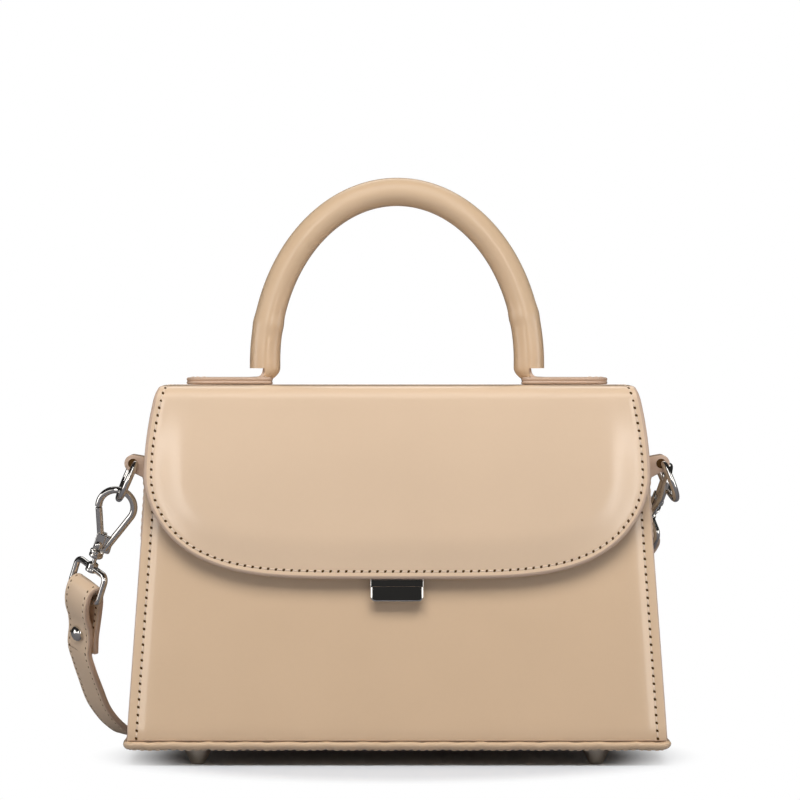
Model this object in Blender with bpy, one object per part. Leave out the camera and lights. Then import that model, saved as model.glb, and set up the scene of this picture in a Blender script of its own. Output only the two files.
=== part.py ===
# Small structured flap handbag: tapered body, one-piece flap, rolled top handle,
# side rings and a clip-on leather strap. Metres, +Z up, front towards -Y,
# origin on the floor under the middle of the base.

import bpy
import bmesh
import math
from mathutils import Matrix, Vector

MM = 0.001

# Gap between pieces that touch, and the extra length of a cutter
clearance = 0.3 * MM
overrun = 2.0 * MM
running_gap = 0.15 * MM

# Feet and base
foot_height = 6.5 * MM
foot_top_radius = 5.7 * MM
foot_bottom_radius = 2.9 * MM
foot_edge_radius = 0.8 * MM
foot_shank_radius = 1.5 * MM
foot_inset_x = 29.3 * MM
foot_inset_y = 13.0 * MM
foot_nut_radius = 4.0 * MM
foot_nut_height = 1.2 * MM
welt_height = 3.4 * MM
welt_width = 7.0 * MM
welt_overhang = 1.4 * MM
welt_corner_radius = 4.0 * MM
board_thickness = 1.6 * MM

# Body, measured over the leather
base_half_width = 107.2 * MM
top_half_width = 98.1 * MM
base_half_depth = 43.0 * MM
top_half_depth = 31.0 * MM
back_panel_height = 134.8 * MM
front_panel_height = 127.0 * MM
gusset_height = 129.8 * MM
leather = 1.6 * MM
stiffener = 1.0 * MM
lining_thickness = 0.6 * MM
lining_drop = 6.0 * MM
pocket_width = 120.0 * MM
pocket_height = 72.0 * MM
pocket_rise = 30.0 * MM
panel_edge_radius = 0.5 * MM

# Flap
flap_leather = 1.3 * MM
flap_lining_thickness = 0.7 * MM
crown_board_thickness = 1.0 * MM
crown_rise = 1.8 * MM
front_roll_radius = 20.0 * MM
front_gap = 5.5 * MM
magnet_gap = 3.6 * MM
flap_bottom = 74.2 * MM
flap_shoulder = 114.0 * MM
flap_crown_half_width = 94.5 * MM
flap_drop_half_width = 100.6 * MM
flap_outline_power = 4.5
flap_corner_power = 1.8
flap_flare_power = 1.5
crown_board_inset = 6.0 * MM
lining_inset = 1.2 * MM

# Clasp
clasp_half_width = 10.5 * MM
clasp_show = 8.8 * MM
clasp_step = 6.1 * MM
clasp_cover = 10.0 * MM
clasp_tongue_thickness = 0.8 * MM
clasp_lip_thickness = 2.6 * MM
clasp_corner = 1.8 * MM
magnet_radius = 7.0 * MM
magnet_thickness = 0.9 * MM
strike_thickness = 0.7 * MM

# Handle
tab_inner_x = 50.6 * MM
tab_outer_x = 85.4 * MM
tab_half_depth = 9.0 * MM
tab_thickness = 2.8 * MM
tongue_thickness = 3.2 * MM
tongue_half_depth = 6.5 * MM
tongue_x = 52.9 * MM
tongue_grip = 7.0 * MM
handle_half_span = 53.5 * MM
handle_rise = 69.0 * MM
handle_stand = 9.3 * MM
handle_cut = 2.4 * MM
roll_top_radius = 5.8 * MM
roll_foot_radius = 6.25 * MM
roll_wall = 1.4 * MM
core_radius = 4.1 * MM

# Ring loops and rings
loop_half_width = 7.2 * MM
loop_outer_radius = 3.5 * MM
loop_hole_radius = 1.8 * MM
loop_thickness = 2.8 * MM
loop_drop = 30.8 * MM
loop_rise = 3.2 * MM
loop_arc_start = 100
loop_arc_end = -90
ring_bar_height = 118.8 * MM
ring_bar_offset = 6.9 * MM
ring_wire_radius = 1.4 * MM
ring_half_width = 9.0 * MM
ring_arm = 6.8 * MM
ring_corner_radius = 2.2 * MM
ring_tilt_deg = 22.9

# Snap hook, drawn with its hinge at the ring's wire
hook_wire_radius = 1.5 * MM
hook_arc_radius = 7.2 * MM
hook_arc_drop = 4.0 * MM
hook_arc_start_deg = -15.0
hook_arc_end_deg = 195.0
hook_foot_u = 0.6 * MM
hook_foot_v = 22.8 * MM
hook_axis_u = -2.1 * MM
block_low_v = 24.3 * MM
block_high_v = 19.4 * MM
block_left_u = -4.0 * MM
block_right_u = 1.6 * MM
block_half_thickness = 1.0 * MM
collar_radius = 2.85 * MM
collar_high_v = 24.0 * MM
collar_low_v = 27.4 * MM
gate_radius = 1.4 * MM
gate_pivot_u = -2.2 * MM
gate_pivot_v = 21.4 * MM
gate_heel_u = -2.9 * MM
fork_left_u = -4.2 * MM
fork_right_u = -1.0 * MM
fork_high_v = 16.4 * MM
fork_low_v = 23.1 * MM
fork_slot_v = 17.9 * MM
fork_half_thickness = 2.1 * MM
gate_rivet_radius = 0.6 * MM
gate_rivet_head_radius = 1.4 * MM
gate_rivet_head_height = 0.7 * MM
gate_travel_deg = 22.0

# How each hook hangs: the left one leans back, the right one lies along the ring's arm
left_hook_tilt_deg = 18.0
left_hook_lean_deg = 15.0
left_hook_rise = 0.4 * MM
left_strap_ring_turn_deg = 44.0
right_strap_ring_turn_deg = -30.0
right_hook_place = (109.95 * MM, 7.6 * MM, 112.4 * MM)
right_hook_tail_shares = (-0.172, 0.81, -0.56)
right_hook_plane_shares = (-0.962, -0.016, 0.272)

# Swivel and strap ring
pin_radius = 0.9 * MM
pin_head_radius = 2.6 * MM
pin_head_height = 1.9 * MM
pin_depth = 2.6 * MM
boss_radius = 2.2 * MM
boss_height = 4.2 * MM
strap_ring_half_width = 9.6 * MM
strap_ring_drop = 12.2 * MM
strap_ring_wire_radius = 1.3 * MM
strap_ring_corner = 2.6 * MM

# Strap
strap_width = 15.0 * MM
strap_thickness = 2.6 * MM
strap_tail = 27.5 * MM
strap_rivet_drop = 20.0 * MM
strap_bulge = 4.2 * MM
strap_rivet_radius = 3.0 * MM
strap_rivet_height = 1.3 * MM
strap_rivet_shank_radius = 1.2 * MM
strap_rivet_back_radius = 2.4 * MM
strap_rivet_back_height = 0.7 * MM

# Levels and lines worked out from the sizes
body_bottom = foot_height + welt_height + clearance
back_panel_top = body_bottom + back_panel_height
front_panel_top = body_bottom + front_panel_height
gusset_top = body_bottom + gusset_height
wall_depth = leather + clearance + stiffener + clearance
flap_stack = (flap_leather + clearance + crown_board_thickness + clearance
              + flap_lining_thickness)
drop_stack = flap_leather + clearance + flap_lining_thickness
ring_tilt = math.radians(ring_tilt_deg)


def half_width(z):
    share = (z - body_bottom) / back_panel_height
    return base_half_width + (top_half_width - base_half_width) * share


def half_depth(z):
    share = (z - body_bottom) / back_panel_height
    return base_half_depth + (top_half_depth - base_half_depth) * share


hinge_y = half_depth(back_panel_top) + clearance
hinge_z = back_panel_top + clearance
crown_back_z = hinge_z + flap_stack
crown_top_z = crown_back_z + crown_rise
front_reach = half_depth(front_panel_top) + front_gap
roll_centre_y = -(front_reach - front_roll_radius)
roll_centre_z = crown_top_z - front_roll_radius
crown_length = hinge_y - roll_centre_y


def crown_height(y):
    share = (y - roll_centre_y) / crown_length
    return crown_top_z - crown_rise * share ** 2


tab_top_mid = crown_height(0) + clearance + tab_thickness
handle_axis_z = tab_top_mid + clearance + tongue_half_depth
handle_centre_z = crown_height(0) + handle_stand

for old in list(bpy.data.objects):
    bpy.data.objects.remove(old, do_unlink=True)


# Materials
def finish(name, colour, roughness, metallic=0.0):
    material = bpy.data.materials.new(name)
    material.use_nodes = True
    shader = material.node_tree.nodes["Principled BSDF"]
    shader.inputs["Base Color"].default_value = (*colour, 1.0)
    shader.inputs["Roughness"].default_value = roughness
    shader.inputs["Metallic"].default_value = metallic
    return material


tan_leather = finish("tan leather", (0.62, 0.42, 0.28), 0.32)
tan_edge = finish("painted edge", (0.45, 0.30, 0.20), 0.5)
lining_cloth = finish("lining cloth", (0.52, 0.42, 0.32), 0.85)
board = finish("fibre board", (0.36, 0.29, 0.20), 0.9)
nickel = finish("polished nickel", (0.80, 0.79, 0.77), 0.12, 1.0)
foot_metal = finish("satin pale brass", (0.72, 0.60, 0.46), 0.3, 1.0)
magnet_metal = finish("magnet", (0.45, 0.45, 0.46), 0.4, 1.0)
cord_fill = finish("handle cord", (0.80, 0.76, 0.68), 0.9)


# Mesh helpers
def add_object(name, mesh_builder, material, matrix=None):
    bmesh.ops.recalc_face_normals(mesh_builder, faces=mesh_builder.faces)
    mesh = bpy.data.meshes.new(name)
    mesh_builder.to_mesh(mesh)
    mesh_builder.free()
    mesh.materials.append(material)
    mesh.shade_smooth()
    mesh.set_sharp_from_angle(angle=math.radians(40))
    thing = bpy.data.objects.new(name, mesh)
    bpy.context.scene.collection.objects.link(thing)
    if matrix is not None:
        thing.matrix_world = matrix
    return thing


def boolean(target, tool, operation):
    tool.hide_render = True
    tool.display_type = "WIRE"
    modifier = target.modifiers.new(operation.title() + " " + tool.name, "BOOLEAN")
    modifier.operation = operation
    modifier.object = tool
    return modifier


def cut(target, tool):
    return boolean(target, tool, "DIFFERENCE")


def join(target, tool):
    return boolean(target, tool, "UNION")


def block_mesh(low, high, bevel=0, segments=1):
    builder = bmesh.new()
    bmesh.ops.create_cube(builder, size=1.0)
    low, high = Vector(low), Vector(high)
    for vertex in builder.verts:
        share = vertex.co + Vector((0.5, 0.5, 0.5))
        vertex.co = Vector(low[i] + (high[i] - low[i]) * share[i] for i in range(3))
    if bevel > 0:
        bmesh.ops.bevel(builder, geom=builder.edges[:], offset=bevel, segments=segments,
                        affect="EDGES", profile=0.5)
    return builder


def turned_mesh(profile, sides):
    """Turns (radius, height) points about Z; the first and last lie on the axis."""
    builder = bmesh.new()
    low = builder.verts.new((0, 0, profile[0][1]))
    high = builder.verts.new((0, 0, profile[-1][1]))
    rings = []
    for radius, height in profile[1:-1]:
        ring = []
        for i in range(sides):
            angle = math.tau * i / sides
            ring.append(builder.verts.new((radius * math.cos(angle),
                                           radius * math.sin(angle), height)))
        rings.append(ring)
    for i in range(sides):
        j = (i + 1) % sides
        builder.faces.new((low, rings[0][j], rings[0][i]))
        builder.faces.new((high, rings[-1][i], rings[-1][j]))
        for lower, upper in zip(rings, rings[1:]):
            builder.faces.new((lower[i], lower[j], upper[j], upper[i]))
    return builder


def prism_mesh(outline, low, high, place):
    """Extrudes a closed outline of (a, b) points; place(a, b, c) gives the point."""
    builder = bmesh.new()
    near = [builder.verts.new(place(a, b, low)) for a, b in outline]
    far = [builder.verts.new(place(a, b, high)) for a, b in outline]
    builder.faces.new(near)
    builder.faces.new(list(reversed(far)))
    for i in range(len(outline)):
        j = (i + 1) % len(outline)
        builder.faces.new((near[j], near[i], far[i], far[j]))
    return builder


def turning_frames(points, closed):
    """Tangent and two side directions at each point, carried on without twist."""
    count = len(points)
    tangents = []
    for i in range(count):
        if closed:
            step = points[(i + 1) % count] - points[i - 1]
        else:
            step = points[min(i + 1, count - 1)] - points[max(i - 1, 0)]
        tangents.append(step.normalized())
    side = tangents[0].orthogonal().normalized()
    frames = []
    for tangent in tangents:
        side = (side - tangent * side.dot(tangent)).normalized()
        frames.append((tangent, side, tangent.cross(side)))
    return frames


def wire_mesh(points, radii, sides, closed=False):
    """A round wire along the points; on a closed wire the path lies in one plane."""
    builder = bmesh.new()
    rings = []
    for i, (point, frame) in enumerate(zip(points, turning_frames(points, closed))):
        radius = radii[i] if isinstance(radii, list) else radii
        ring = []
        for k in range(sides):
            angle = math.tau * (k + 0.5) / sides
            offset = frame[1] * math.cos(angle) + frame[2] * math.sin(angle)
            ring.append(builder.verts.new(point + offset * radius))
        rings.append(ring)
    pairs = list(zip(rings, rings[1:]))
    if closed:
        pairs.append((rings[-1], rings[0]))
    for one, two in pairs:
        for k in range(sides):
            m = (k + 1) % sides
            builder.faces.new((one[k], one[m], two[m], two[k]))
    if not closed:
        builder.faces.new(list(reversed(rings[0])))
        builder.faces.new(rings[-1])
    return builder


def shell_mesh(rows, inner_rows):
    """Closes the space between two grids of points of the same size."""
    builder = bmesh.new()
    outer = [[builder.verts.new(p) for p in row] for row in rows]
    inner = [[builder.verts.new(p) for p in row] for row in inner_rows]
    last_row, last_col = len(rows) - 1, len(rows[0]) - 1
    for r in range(last_row):
        for c in range(last_col):
            builder.faces.new((outer[r][c], outer[r][c + 1],
                               outer[r + 1][c + 1], outer[r + 1][c]))
            builder.faces.new((inner[r][c], inner[r + 1][c],
                               inner[r + 1][c + 1], inner[r][c + 1]))
    for r in range(last_row):
        for c in (0, last_col):
            builder.faces.new((outer[r][c], outer[r + 1][c],
                               inner[r + 1][c], inner[r][c]))
    for c in range(last_col):
        for r in (0, last_row):
            builder.faces.new((outer[r][c], inner[r][c],
                               inner[r][c + 1], outer[r][c + 1]))
    return builder


def corner_arc(centre_x, centre_y, radius, start, stop, steps):
    points = []
    for i in range(steps + 1):
        angle = math.radians(start + (stop - start) * i / steps)
        points.append((centre_x + radius * math.cos(angle),
                       centre_y + radius * math.sin(angle)))
    return points


def rounded_rectangle(half_x, half_y, radius, steps):
    outline = []
    for sign_x, sign_y, start in ((1, 1, 0), (-1, 1, 90), (-1, -1, 180), (1, -1, 270)):
        outline += corner_arc(sign_x * (half_x - radius), sign_y * (half_y - radius),
                              radius, start, start + 90, steps)
    return outline


def smooth_curve(points, steps):
    """Centripetal curve through the points, with the given steps between each pair."""
    result = []
    count = len(points)
    for i in range(count - 1):
        p1, p2 = points[i], points[i + 1]
        p0 = points[i - 1] if i > 0 else p1 * 2 - p2
        p3 = points[i + 2] if i + 2 < count else p2 * 2 - p1
        t0, t1 = 0.0, max(math.sqrt((p1 - p0).length), 1e-6)
        t2 = t1 + max(math.sqrt((p2 - p1).length), 1e-6)
        t3 = t2 + max(math.sqrt((p3 - p2).length), 1e-6)
        for k in range(steps):
            t = t1 + (t2 - t1) * k / steps
            a1 = p0 * ((t1 - t) / (t1 - t0)) + p1 * ((t - t0) / (t1 - t0))
            a2 = p1 * ((t2 - t) / (t2 - t1)) + p2 * ((t - t1) / (t2 - t1))
            a3 = p2 * ((t3 - t) / (t3 - t2)) + p3 * ((t - t2) / (t3 - t2))
            b1 = a1 * ((t2 - t) / (t2 - t0)) + a2 * ((t - t0) / (t2 - t0))
            b2 = a2 * ((t3 - t) / (t3 - t1)) + a3 * ((t - t1) / (t3 - t1))
            result.append(b1 * ((t2 - t) / (t2 - t1)) + b2 * ((t - t1) / (t2 - t1)))
    result.append(points[-1].copy())
    return result


def bevel_edges(thing, width, segments=2):
    modifier = thing.modifiers.new("Soft edges", "BEVEL")
    modifier.width = width
    modifier.segments = segments
    modifier.limit_method = "ANGLE"
    modifier.angle_limit = math.radians(60)
    return modifier


# Base: rolled welt, base leather, board and feet
def foot_places():
    x = base_half_width + welt_overhang - foot_inset_x
    y = base_half_depth + welt_overhang - foot_inset_y
    return {"foot_front_left": (-x, -y), "foot_front_right": (x, -y),
            "foot_back_left": (-x, y), "foot_back_right": (x, y)}


def build_welt():
    outer_x = base_half_width + welt_overhang
    outer_y = base_half_depth + welt_overhang
    middle_z = foot_height + welt_height / 2
    half = welt_height / 2
    rows = []
    for share_x, share_z in ((0, -1), (0.5, -0.87), (0.87, -0.5), (1, 0),
                             (0.87, 0.5), (0.5, 0.87), (0, 1)):
        inset = half * (1 - share_x)
        outline = rounded_rectangle(outer_x - inset, outer_y - inset,
                                    welt_corner_radius - inset, 5)
        rows.append([(x, y, middle_z + half * share_z) for x, y in outline])
    inner = rounded_rectangle(outer_x - welt_width, outer_y - welt_width, half, 5)
    rows.append([(x, y, middle_z + half) for x, y in inner])
    rows.append([(x, y, middle_z - half) for x, y in inner])
    builder = bmesh.new()
    rings = [[builder.verts.new(p) for p in row] for row in rows]
    count = len(rings[0])
    for one, two in zip(rings, rings[1:] + rings[:1]):
        for k in range(count):
            m = (k + 1) % count
            builder.faces.new((one[k], one[m], two[m], two[k]))
    add_object("base_welt", builder, tan_leather)


def drill(thing, name, x, y, low, high, radius):
    profile = [(0, low), (radius, low), (radius, high), (0, high)]
    tool = add_object(name, turned_mesh(profile, 16), board,
                      Matrix.Translation((x, y, 0)))
    cut(thing, tool)


def build_base():
    inset = welt_width + clearance
    base_x = base_half_width + welt_overhang - inset
    base_y = base_half_depth + welt_overhang - inset
    outline = rounded_rectangle(base_x, base_y, welt_height / 2, 3)
    base = add_object("base_panel", prism_mesh(
        outline, foot_height, foot_height + welt_height,
        lambda a, b, c: (a, b, c)), tan_leather)
    board_low = body_bottom
    board_high = body_bottom + board_thickness
    board_x = half_width(board_high) - leather - clearance
    board_y = half_depth(board_high) - wall_depth
    base_board = add_object("base_board", block_mesh(
        (-board_x, -board_y, board_low), (board_x, board_y, board_high)), board)
    nut_top = board_high + clearance + foot_nut_height
    for name, (x, y) in foot_places().items():
        for target in (base, base_board):
            drill(target, "drill " + target.name + " " + name, x, y,
                  foot_height - overrun, board_high + overrun,
                  foot_shank_radius + running_gap)
        edge = foot_edge_radius
        profile = [(0, 0), (foot_bottom_radius - edge, 0),
                   (foot_bottom_radius - edge * 0.3, edge * 0.3),
                   (foot_bottom_radius, edge),
                   (foot_top_radius, foot_height - clearance),
                   (foot_shank_radius, foot_height - clearance),
                   (foot_shank_radius, nut_top), (0, nut_top)]
        add_object(name, turned_mesh(profile, 24), foot_metal,
                   Matrix.Translation((x, y, 0)))
        nut = add_object(name.replace("foot", "foot_nut"), turned_mesh(
            [(0, board_high + clearance), (foot_nut_radius, board_high + clearance),
             (foot_nut_radius, nut_top), (0, nut_top)], 12), nickel,
            Matrix.Translation((x, y, 0)))
        drill(nut, "drill " + nut.name, x, y, board_high - overrun,
              nut_top + overrun, foot_shank_radius + running_gap)


# Body walls
def front_or_back_wall(name, side, offset, thickness, low, high, side_inset, material):
    """A tapered sheet parallel to the front (-1) or back (1) wall."""
    builder = bmesh.new()
    corners = []
    for z in (low, high):
        x = half_width(z) - side_inset
        for depth in (offset, offset + thickness):
            y = side * (half_depth(z) - depth)
            corners.append((builder.verts.new((-x, y, z)), builder.verts.new((x, y, z))))
    (a, b), (c, d), (e, f), (g, h) = corners
    for face in ((a, b, f, e), (c, g, h, d), (a, e, g, c),
                 (b, d, h, f), (e, f, h, g), (a, c, d, b)):
        builder.faces.new(face)
    return add_object(name, builder, material)


def gusset_wall(name, side):
    inner_gap = leather + clearance
    builder = bmesh.new()
    corners = []
    for z in (body_bottom, gusset_top):
        y = half_depth(z) - inner_gap
        for depth in (0, leather):
            x = side * (half_width(z) - depth)
            corners.append((builder.verts.new((x, -y, z)), builder.verts.new((x, y, z))))
    (a, b), (c, d), (e, f), (g, h) = corners
    for face in ((a, b, f, e), (c, g, h, d), (a, e, g, c),
                 (b, d, h, f), (e, f, h, g), (a, c, d, b)):
        builder.faces.new(face)
    return add_object(name, builder, tan_leather)


def build_walls():
    front = front_or_back_wall("front_panel", -1, 0, leather, body_bottom,
                               front_panel_top, 0, tan_leather)
    back = front_or_back_wall("back_panel", 1, 0, leather, body_bottom,
                              back_panel_top, 0, tan_leather)
    for thing in (front, back, gusset_wall("gusset_left", -1),
                  gusset_wall("gusset_right", 1)):
        bevel_edges(thing, panel_edge_radius)
    board_inset = leather + clearance + lining_thickness + clearance
    board_top = front_panel_top - lining_drop
    for name, side in (("front_board", -1), ("back_board", 1)):
        front_or_back_wall(name, side, leather + clearance, stiffener,
                           body_bottom, board_top, board_inset, board)


def build_lining():
    low = body_bottom + board_thickness + clearance + foot_nut_height + clearance * 2
    high = front_panel_top - lining_drop / 2

    def corners(z, thickness):
        x = half_width(z) - leather - clearance - thickness
        y = half_depth(z) - wall_depth - thickness
        return [(-x, -y, z), (x, -y, z), (x, y, z), (-x, y, z)]

    builder = bmesh.new()
    rings = [[builder.verts.new(p) for p in ring] for ring in (
        corners(low, 0), corners(high, 0), corners(high, lining_thickness),
        corners(low + lining_thickness, lining_thickness))]
    for one, two in zip(rings, rings[1:]):
        for k in range(4):
            m = (k + 1) % 4
            builder.faces.new((one[k], one[m], two[m], two[k]))
    builder.faces.new(list(reversed(rings[0])))
    builder.faces.new(rings[-1])
    add_object("lining", builder, lining_cloth)
    pocket_low = low + pocket_rise
    pocket_high = pocket_low + pocket_height
    offset = wall_depth + lining_thickness + clearance
    side_inset = half_width(pocket_low) - pocket_width / 2
    front_or_back_wall("inner_pocket", 1, offset, lining_thickness, pocket_low,
                       pocket_high, side_inset, lining_cloth)


# Flap
def roll_tangent_angle():
    """Angle on the front roll where the straight drop leaves it, from +Y."""
    foot_y = -(half_depth(flap_bottom) + magnet_gap + drop_stack)
    reach_y, reach_z = foot_y - roll_centre_y, flap_bottom - roll_centre_z
    distance = math.hypot(reach_y, reach_z)
    towards = math.atan2(reach_z, reach_y) % math.tau
    return towards - math.acos(front_roll_radius / distance)


drop_angle = roll_tangent_angle()
drop_start_y = roll_centre_y + front_roll_radius * math.cos(drop_angle)
drop_start_z = roll_centre_z + front_roll_radius * math.sin(drop_angle)
drop_normal_y = math.cos(drop_angle)
drop_normal_z = math.sin(drop_angle)
roll_turn = drop_angle - math.pi / 2
shoulder_length = (front_roll_radius * roll_turn
                   + (drop_start_z - flap_shoulder) / abs(drop_normal_y))


def drop_point(z, depth=0):
    """Point on the flap's straight drop, depth inside its outer face."""
    slope = drop_normal_z / -drop_normal_y
    y = drop_start_y - (drop_start_z - z) * slope
    return y - depth * drop_normal_y, z - depth * drop_normal_z


def flap_half_width(length):
    """Half width by distance along the leather from the top of the roll."""
    share = min(max(length / shoulder_length, 0), 1)
    flare = 1 - (1 - share) ** flap_flare_power
    return flap_crown_half_width + (flap_drop_half_width - flap_crown_half_width) * flare


def flap_low_edge(share):
    """Height of the lower edge at a share of the half width."""
    bow = (1 - abs(share) ** flap_outline_power) ** (1 / flap_corner_power)
    return flap_shoulder - (flap_shoulder - flap_bottom) * bow


def flap_sheet(thickness, crown_depth, drop_depth, inset, columns):
    """Rows of outer and inner points from the hinge edge to the lower edge."""
    shares = [math.sin(math.pi / 2 * (2 * i / columns - 1)) for i in range(columns + 1)]
    rows, inner_rows = [], []

    def add_row(place, crown_share, length, scale=None):
        depth = drop_depth + (crown_depth - drop_depth) * crown_share
        width = flap_half_width(length) - inset
        outer, inner = [], []
        for share in shares:
            for points, extra in ((outer, 0), (inner, thickness)):
                y, z = place(share, depth + extra)
                points.append((share * width, y, z))
        rows.append(outer)
        inner_rows.append(inner)

    crown_rows = 5
    for i in range(crown_rows):
        y = hinge_y + (roll_centre_y - hinge_y) * i / crown_rows
        add_row(lambda share, depth, y=y: (y, crown_height(y) - depth), 1, 0)
    roll_rows = 7
    for i in range(roll_rows + 1):
        angle = math.pi / 2 + roll_turn * i / roll_rows
        add_row(lambda share, depth, angle=angle: (
            roll_centre_y + (front_roll_radius - depth) * math.cos(angle),
            roll_centre_z + (front_roll_radius - depth) * math.sin(angle)),
            1 - i / roll_rows, front_roll_radius * roll_turn * i / roll_rows)
    drop_rows = 7
    for i in range(1, drop_rows + 1):
        part = i / drop_rows

        def place(share, depth, part=part):
            low = flap_low_edge(share) + inset
            z = drop_start_z + (low - drop_start_z) * part
            return drop_point(z, depth)

        length = front_roll_radius * roll_turn + (drop_start_z - flap_shoulder) * min(
            part * 2, 1)
        add_row(place, 0, length)
    return rows, inner_rows


def build_flap():
    outer = flap_sheet(flap_leather, 0, 0, 0, 26)
    add_object("flap_outer", shell_mesh(*outer), tan_leather, None)
    lining_crown = flap_stack - flap_lining_thickness
    lining_drop_depth = drop_stack - flap_lining_thickness
    inner = flap_sheet(flap_lining_thickness, lining_crown, lining_drop_depth,
                       lining_inset, 22)
    add_object("flap_lining", shell_mesh(*inner), tan_leather, None)
    board_front = roll_centre_y
    board_back = hinge_y - crown_board_inset
    rows, inner_rows = [], []
    steps = 4
    depth = flap_leather + clearance
    x = flap_crown_half_width - crown_board_inset
    for i in range(steps + 1):
        y = board_back + (board_front - board_back) * i / steps
        z = crown_height(y) - depth
        rows.append([(-x, y, z), (x, y, z)])
        inner_rows.append([(-x, y, z - crown_board_thickness),
                           (x, y, z - crown_board_thickness)])
    add_object("crown_board", shell_mesh(rows, inner_rows), board)


def build_clasp():
    """Plate on the back of the flap's lower edge, magnet behind it, strike below."""
    low = flap_bottom - clasp_show
    step_z = low + clasp_step
    high = flap_bottom + clasp_cover
    back_depth = drop_stack + clearance + clasp_tongue_thickness
    tongue_depth = drop_stack + clearance
    lip_depth = back_depth - clasp_lip_thickness
    profile = [(low, lip_depth), (low, back_depth), (high, back_depth),
               (high, tongue_depth), (flap_bottom - clearance, tongue_depth),
               (flap_bottom - clearance, tongue_depth - clasp_tongue_thickness),
               (step_z, tongue_depth - clasp_tongue_thickness), (step_z, lip_depth)]

    def place(z, depth, x):
        y, height = drop_point(z, depth)
        return (x, y, height)

    plate = add_object("clasp_plate", prism_mesh(
        profile, -clasp_half_width, clasp_half_width, place), nickel)
    for side in (-1, 1):
        corner = clasp_corner
        edge = side * (clasp_half_width + overrun)
        outline = [(edge, low - overrun), (side * (clasp_half_width - corner) -
                   side * overrun, low - overrun),
                   (side * (clasp_half_width + overrun), low + corner + overrun)]

        def corner_place(x, z, y):
            return (x, y, z)

        front_y = drop_point(low)[0]
        tool = add_object("clasp corner " + str(side), prism_mesh(
            outline, front_y - front_gap, front_y + front_gap, corner_place), nickel)
        cut(plate, tool)
    centre_z = flap_bottom + clasp_cover / 2 - clasp_show / 2
    turn = Matrix.Rotation(math.pi / 2, 4, "X")
    lean = math.atan2(drop_normal_z, -drop_normal_y)
    y, z = drop_point(centre_z, back_depth + clearance)
    place_magnet = (Matrix.Translation((0, y, z)) @ Matrix.Rotation(-lean, 4, "X") @ turn)
    add_object("clasp_magnet", turned_mesh(
        [(0, 0), (magnet_radius, 0), (magnet_radius, -magnet_thickness),
         (0, -magnet_thickness)], 24), magnet_metal, place_magnet)
    wall_lean = math.atan2(base_half_depth - top_half_depth, back_panel_height)
    y = -(half_depth(centre_z) + clearance)
    place_strike = (Matrix.Translation((0, y, centre_z))
                    @ Matrix.Rotation(-wall_lean, 4, "X") @ turn)
    add_object("strike_plate", turned_mesh(
        [(0, 0), (magnet_radius, 0), (magnet_radius, strike_thickness),
         (0, strike_thickness)], 24), magnet_metal, place_strike)


# Handle
def build_tab(name, side):
    """Flat end of the handle, stitched on the crown."""
    outline = corner_arc(tab_outer_x - tab_half_depth, 0, tab_half_depth, -90, 90, 10)
    outline += [(tab_inner_x, tab_half_depth), (tab_inner_x, -tab_half_depth)]

    def place(a, b, c):
        return (side * a, b, crown_height(b) + clearance + c)

    add_object(name, prism_mesh(outline, 0, tab_thickness, place), tan_leather)


def handle_path(steps):
    """Centre line of the roll, as points in the handle's own plane."""
    points = [Vector((handle_half_span, 0, handle_centre_z - handle_cut))]
    for i in range(steps + 1):
        angle = math.pi * i / steps
        points.append(Vector((handle_half_span * math.cos(angle), 0,
                              handle_centre_z + handle_rise * math.sin(angle))))
    points.append(Vector((-handle_half_span, 0, handle_centre_z - handle_cut)))
    return points


def build_handle():
    axis = Vector((0, 0, handle_axis_z))
    place = Matrix.Translation(axis)
    points = [p - axis for p in handle_path(36)]
    count = len(points)
    radii = []
    for i in range(count):
        share = math.sin(math.pi * i / (count - 1))
        radii.append(roll_foot_radius + (roll_top_radius - roll_foot_radius) * share)
    roll = add_object("handle_roll", wire_mesh(points, radii, 16), tan_leather, place)
    lengthened = [points[0] + (points[0] - points[1]).normalized() * overrun]
    lengthened += points[1:-1]
    lengthened.append(points[-1] + (points[-1] - points[-2]).normalized() * overrun)
    bore = add_object("handle bore", wire_mesh(
        lengthened, core_radius + clearance, 16), cord_fill, place)
    cut(roll, bore)
    low = handle_axis_z - tongue_half_depth
    high = handle_axis_z + tongue_grip
    for side, name in ((-1, "left"), (1, "right")):
        outline = corner_arc(0, 0, tongue_half_depth, 180, 360, 12)
        outline += [(tongue_half_depth, high - handle_axis_z),
                    (-tongue_half_depth, high - handle_axis_z)]
        middle = side * tongue_x
        tongue = add_object("tongue " + name, prism_mesh(
            outline, middle - tongue_thickness / 2, middle + tongue_thickness / 2,
            lambda a, b, c: (c, a, b)), tan_leather, place)
        join(roll, tongue)
    core_points = [p for p in points if p.z + handle_axis_z > high + clearance]
    add_object("handle_core", wire_mesh(core_points, core_radius, 12), cord_fill, place)
    return low


# Ring loops and rings at the sides
def ring_bar(side):
    x = half_width(ring_bar_height) + ring_bar_offset
    return Vector((side * x, 0, ring_bar_height))


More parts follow.
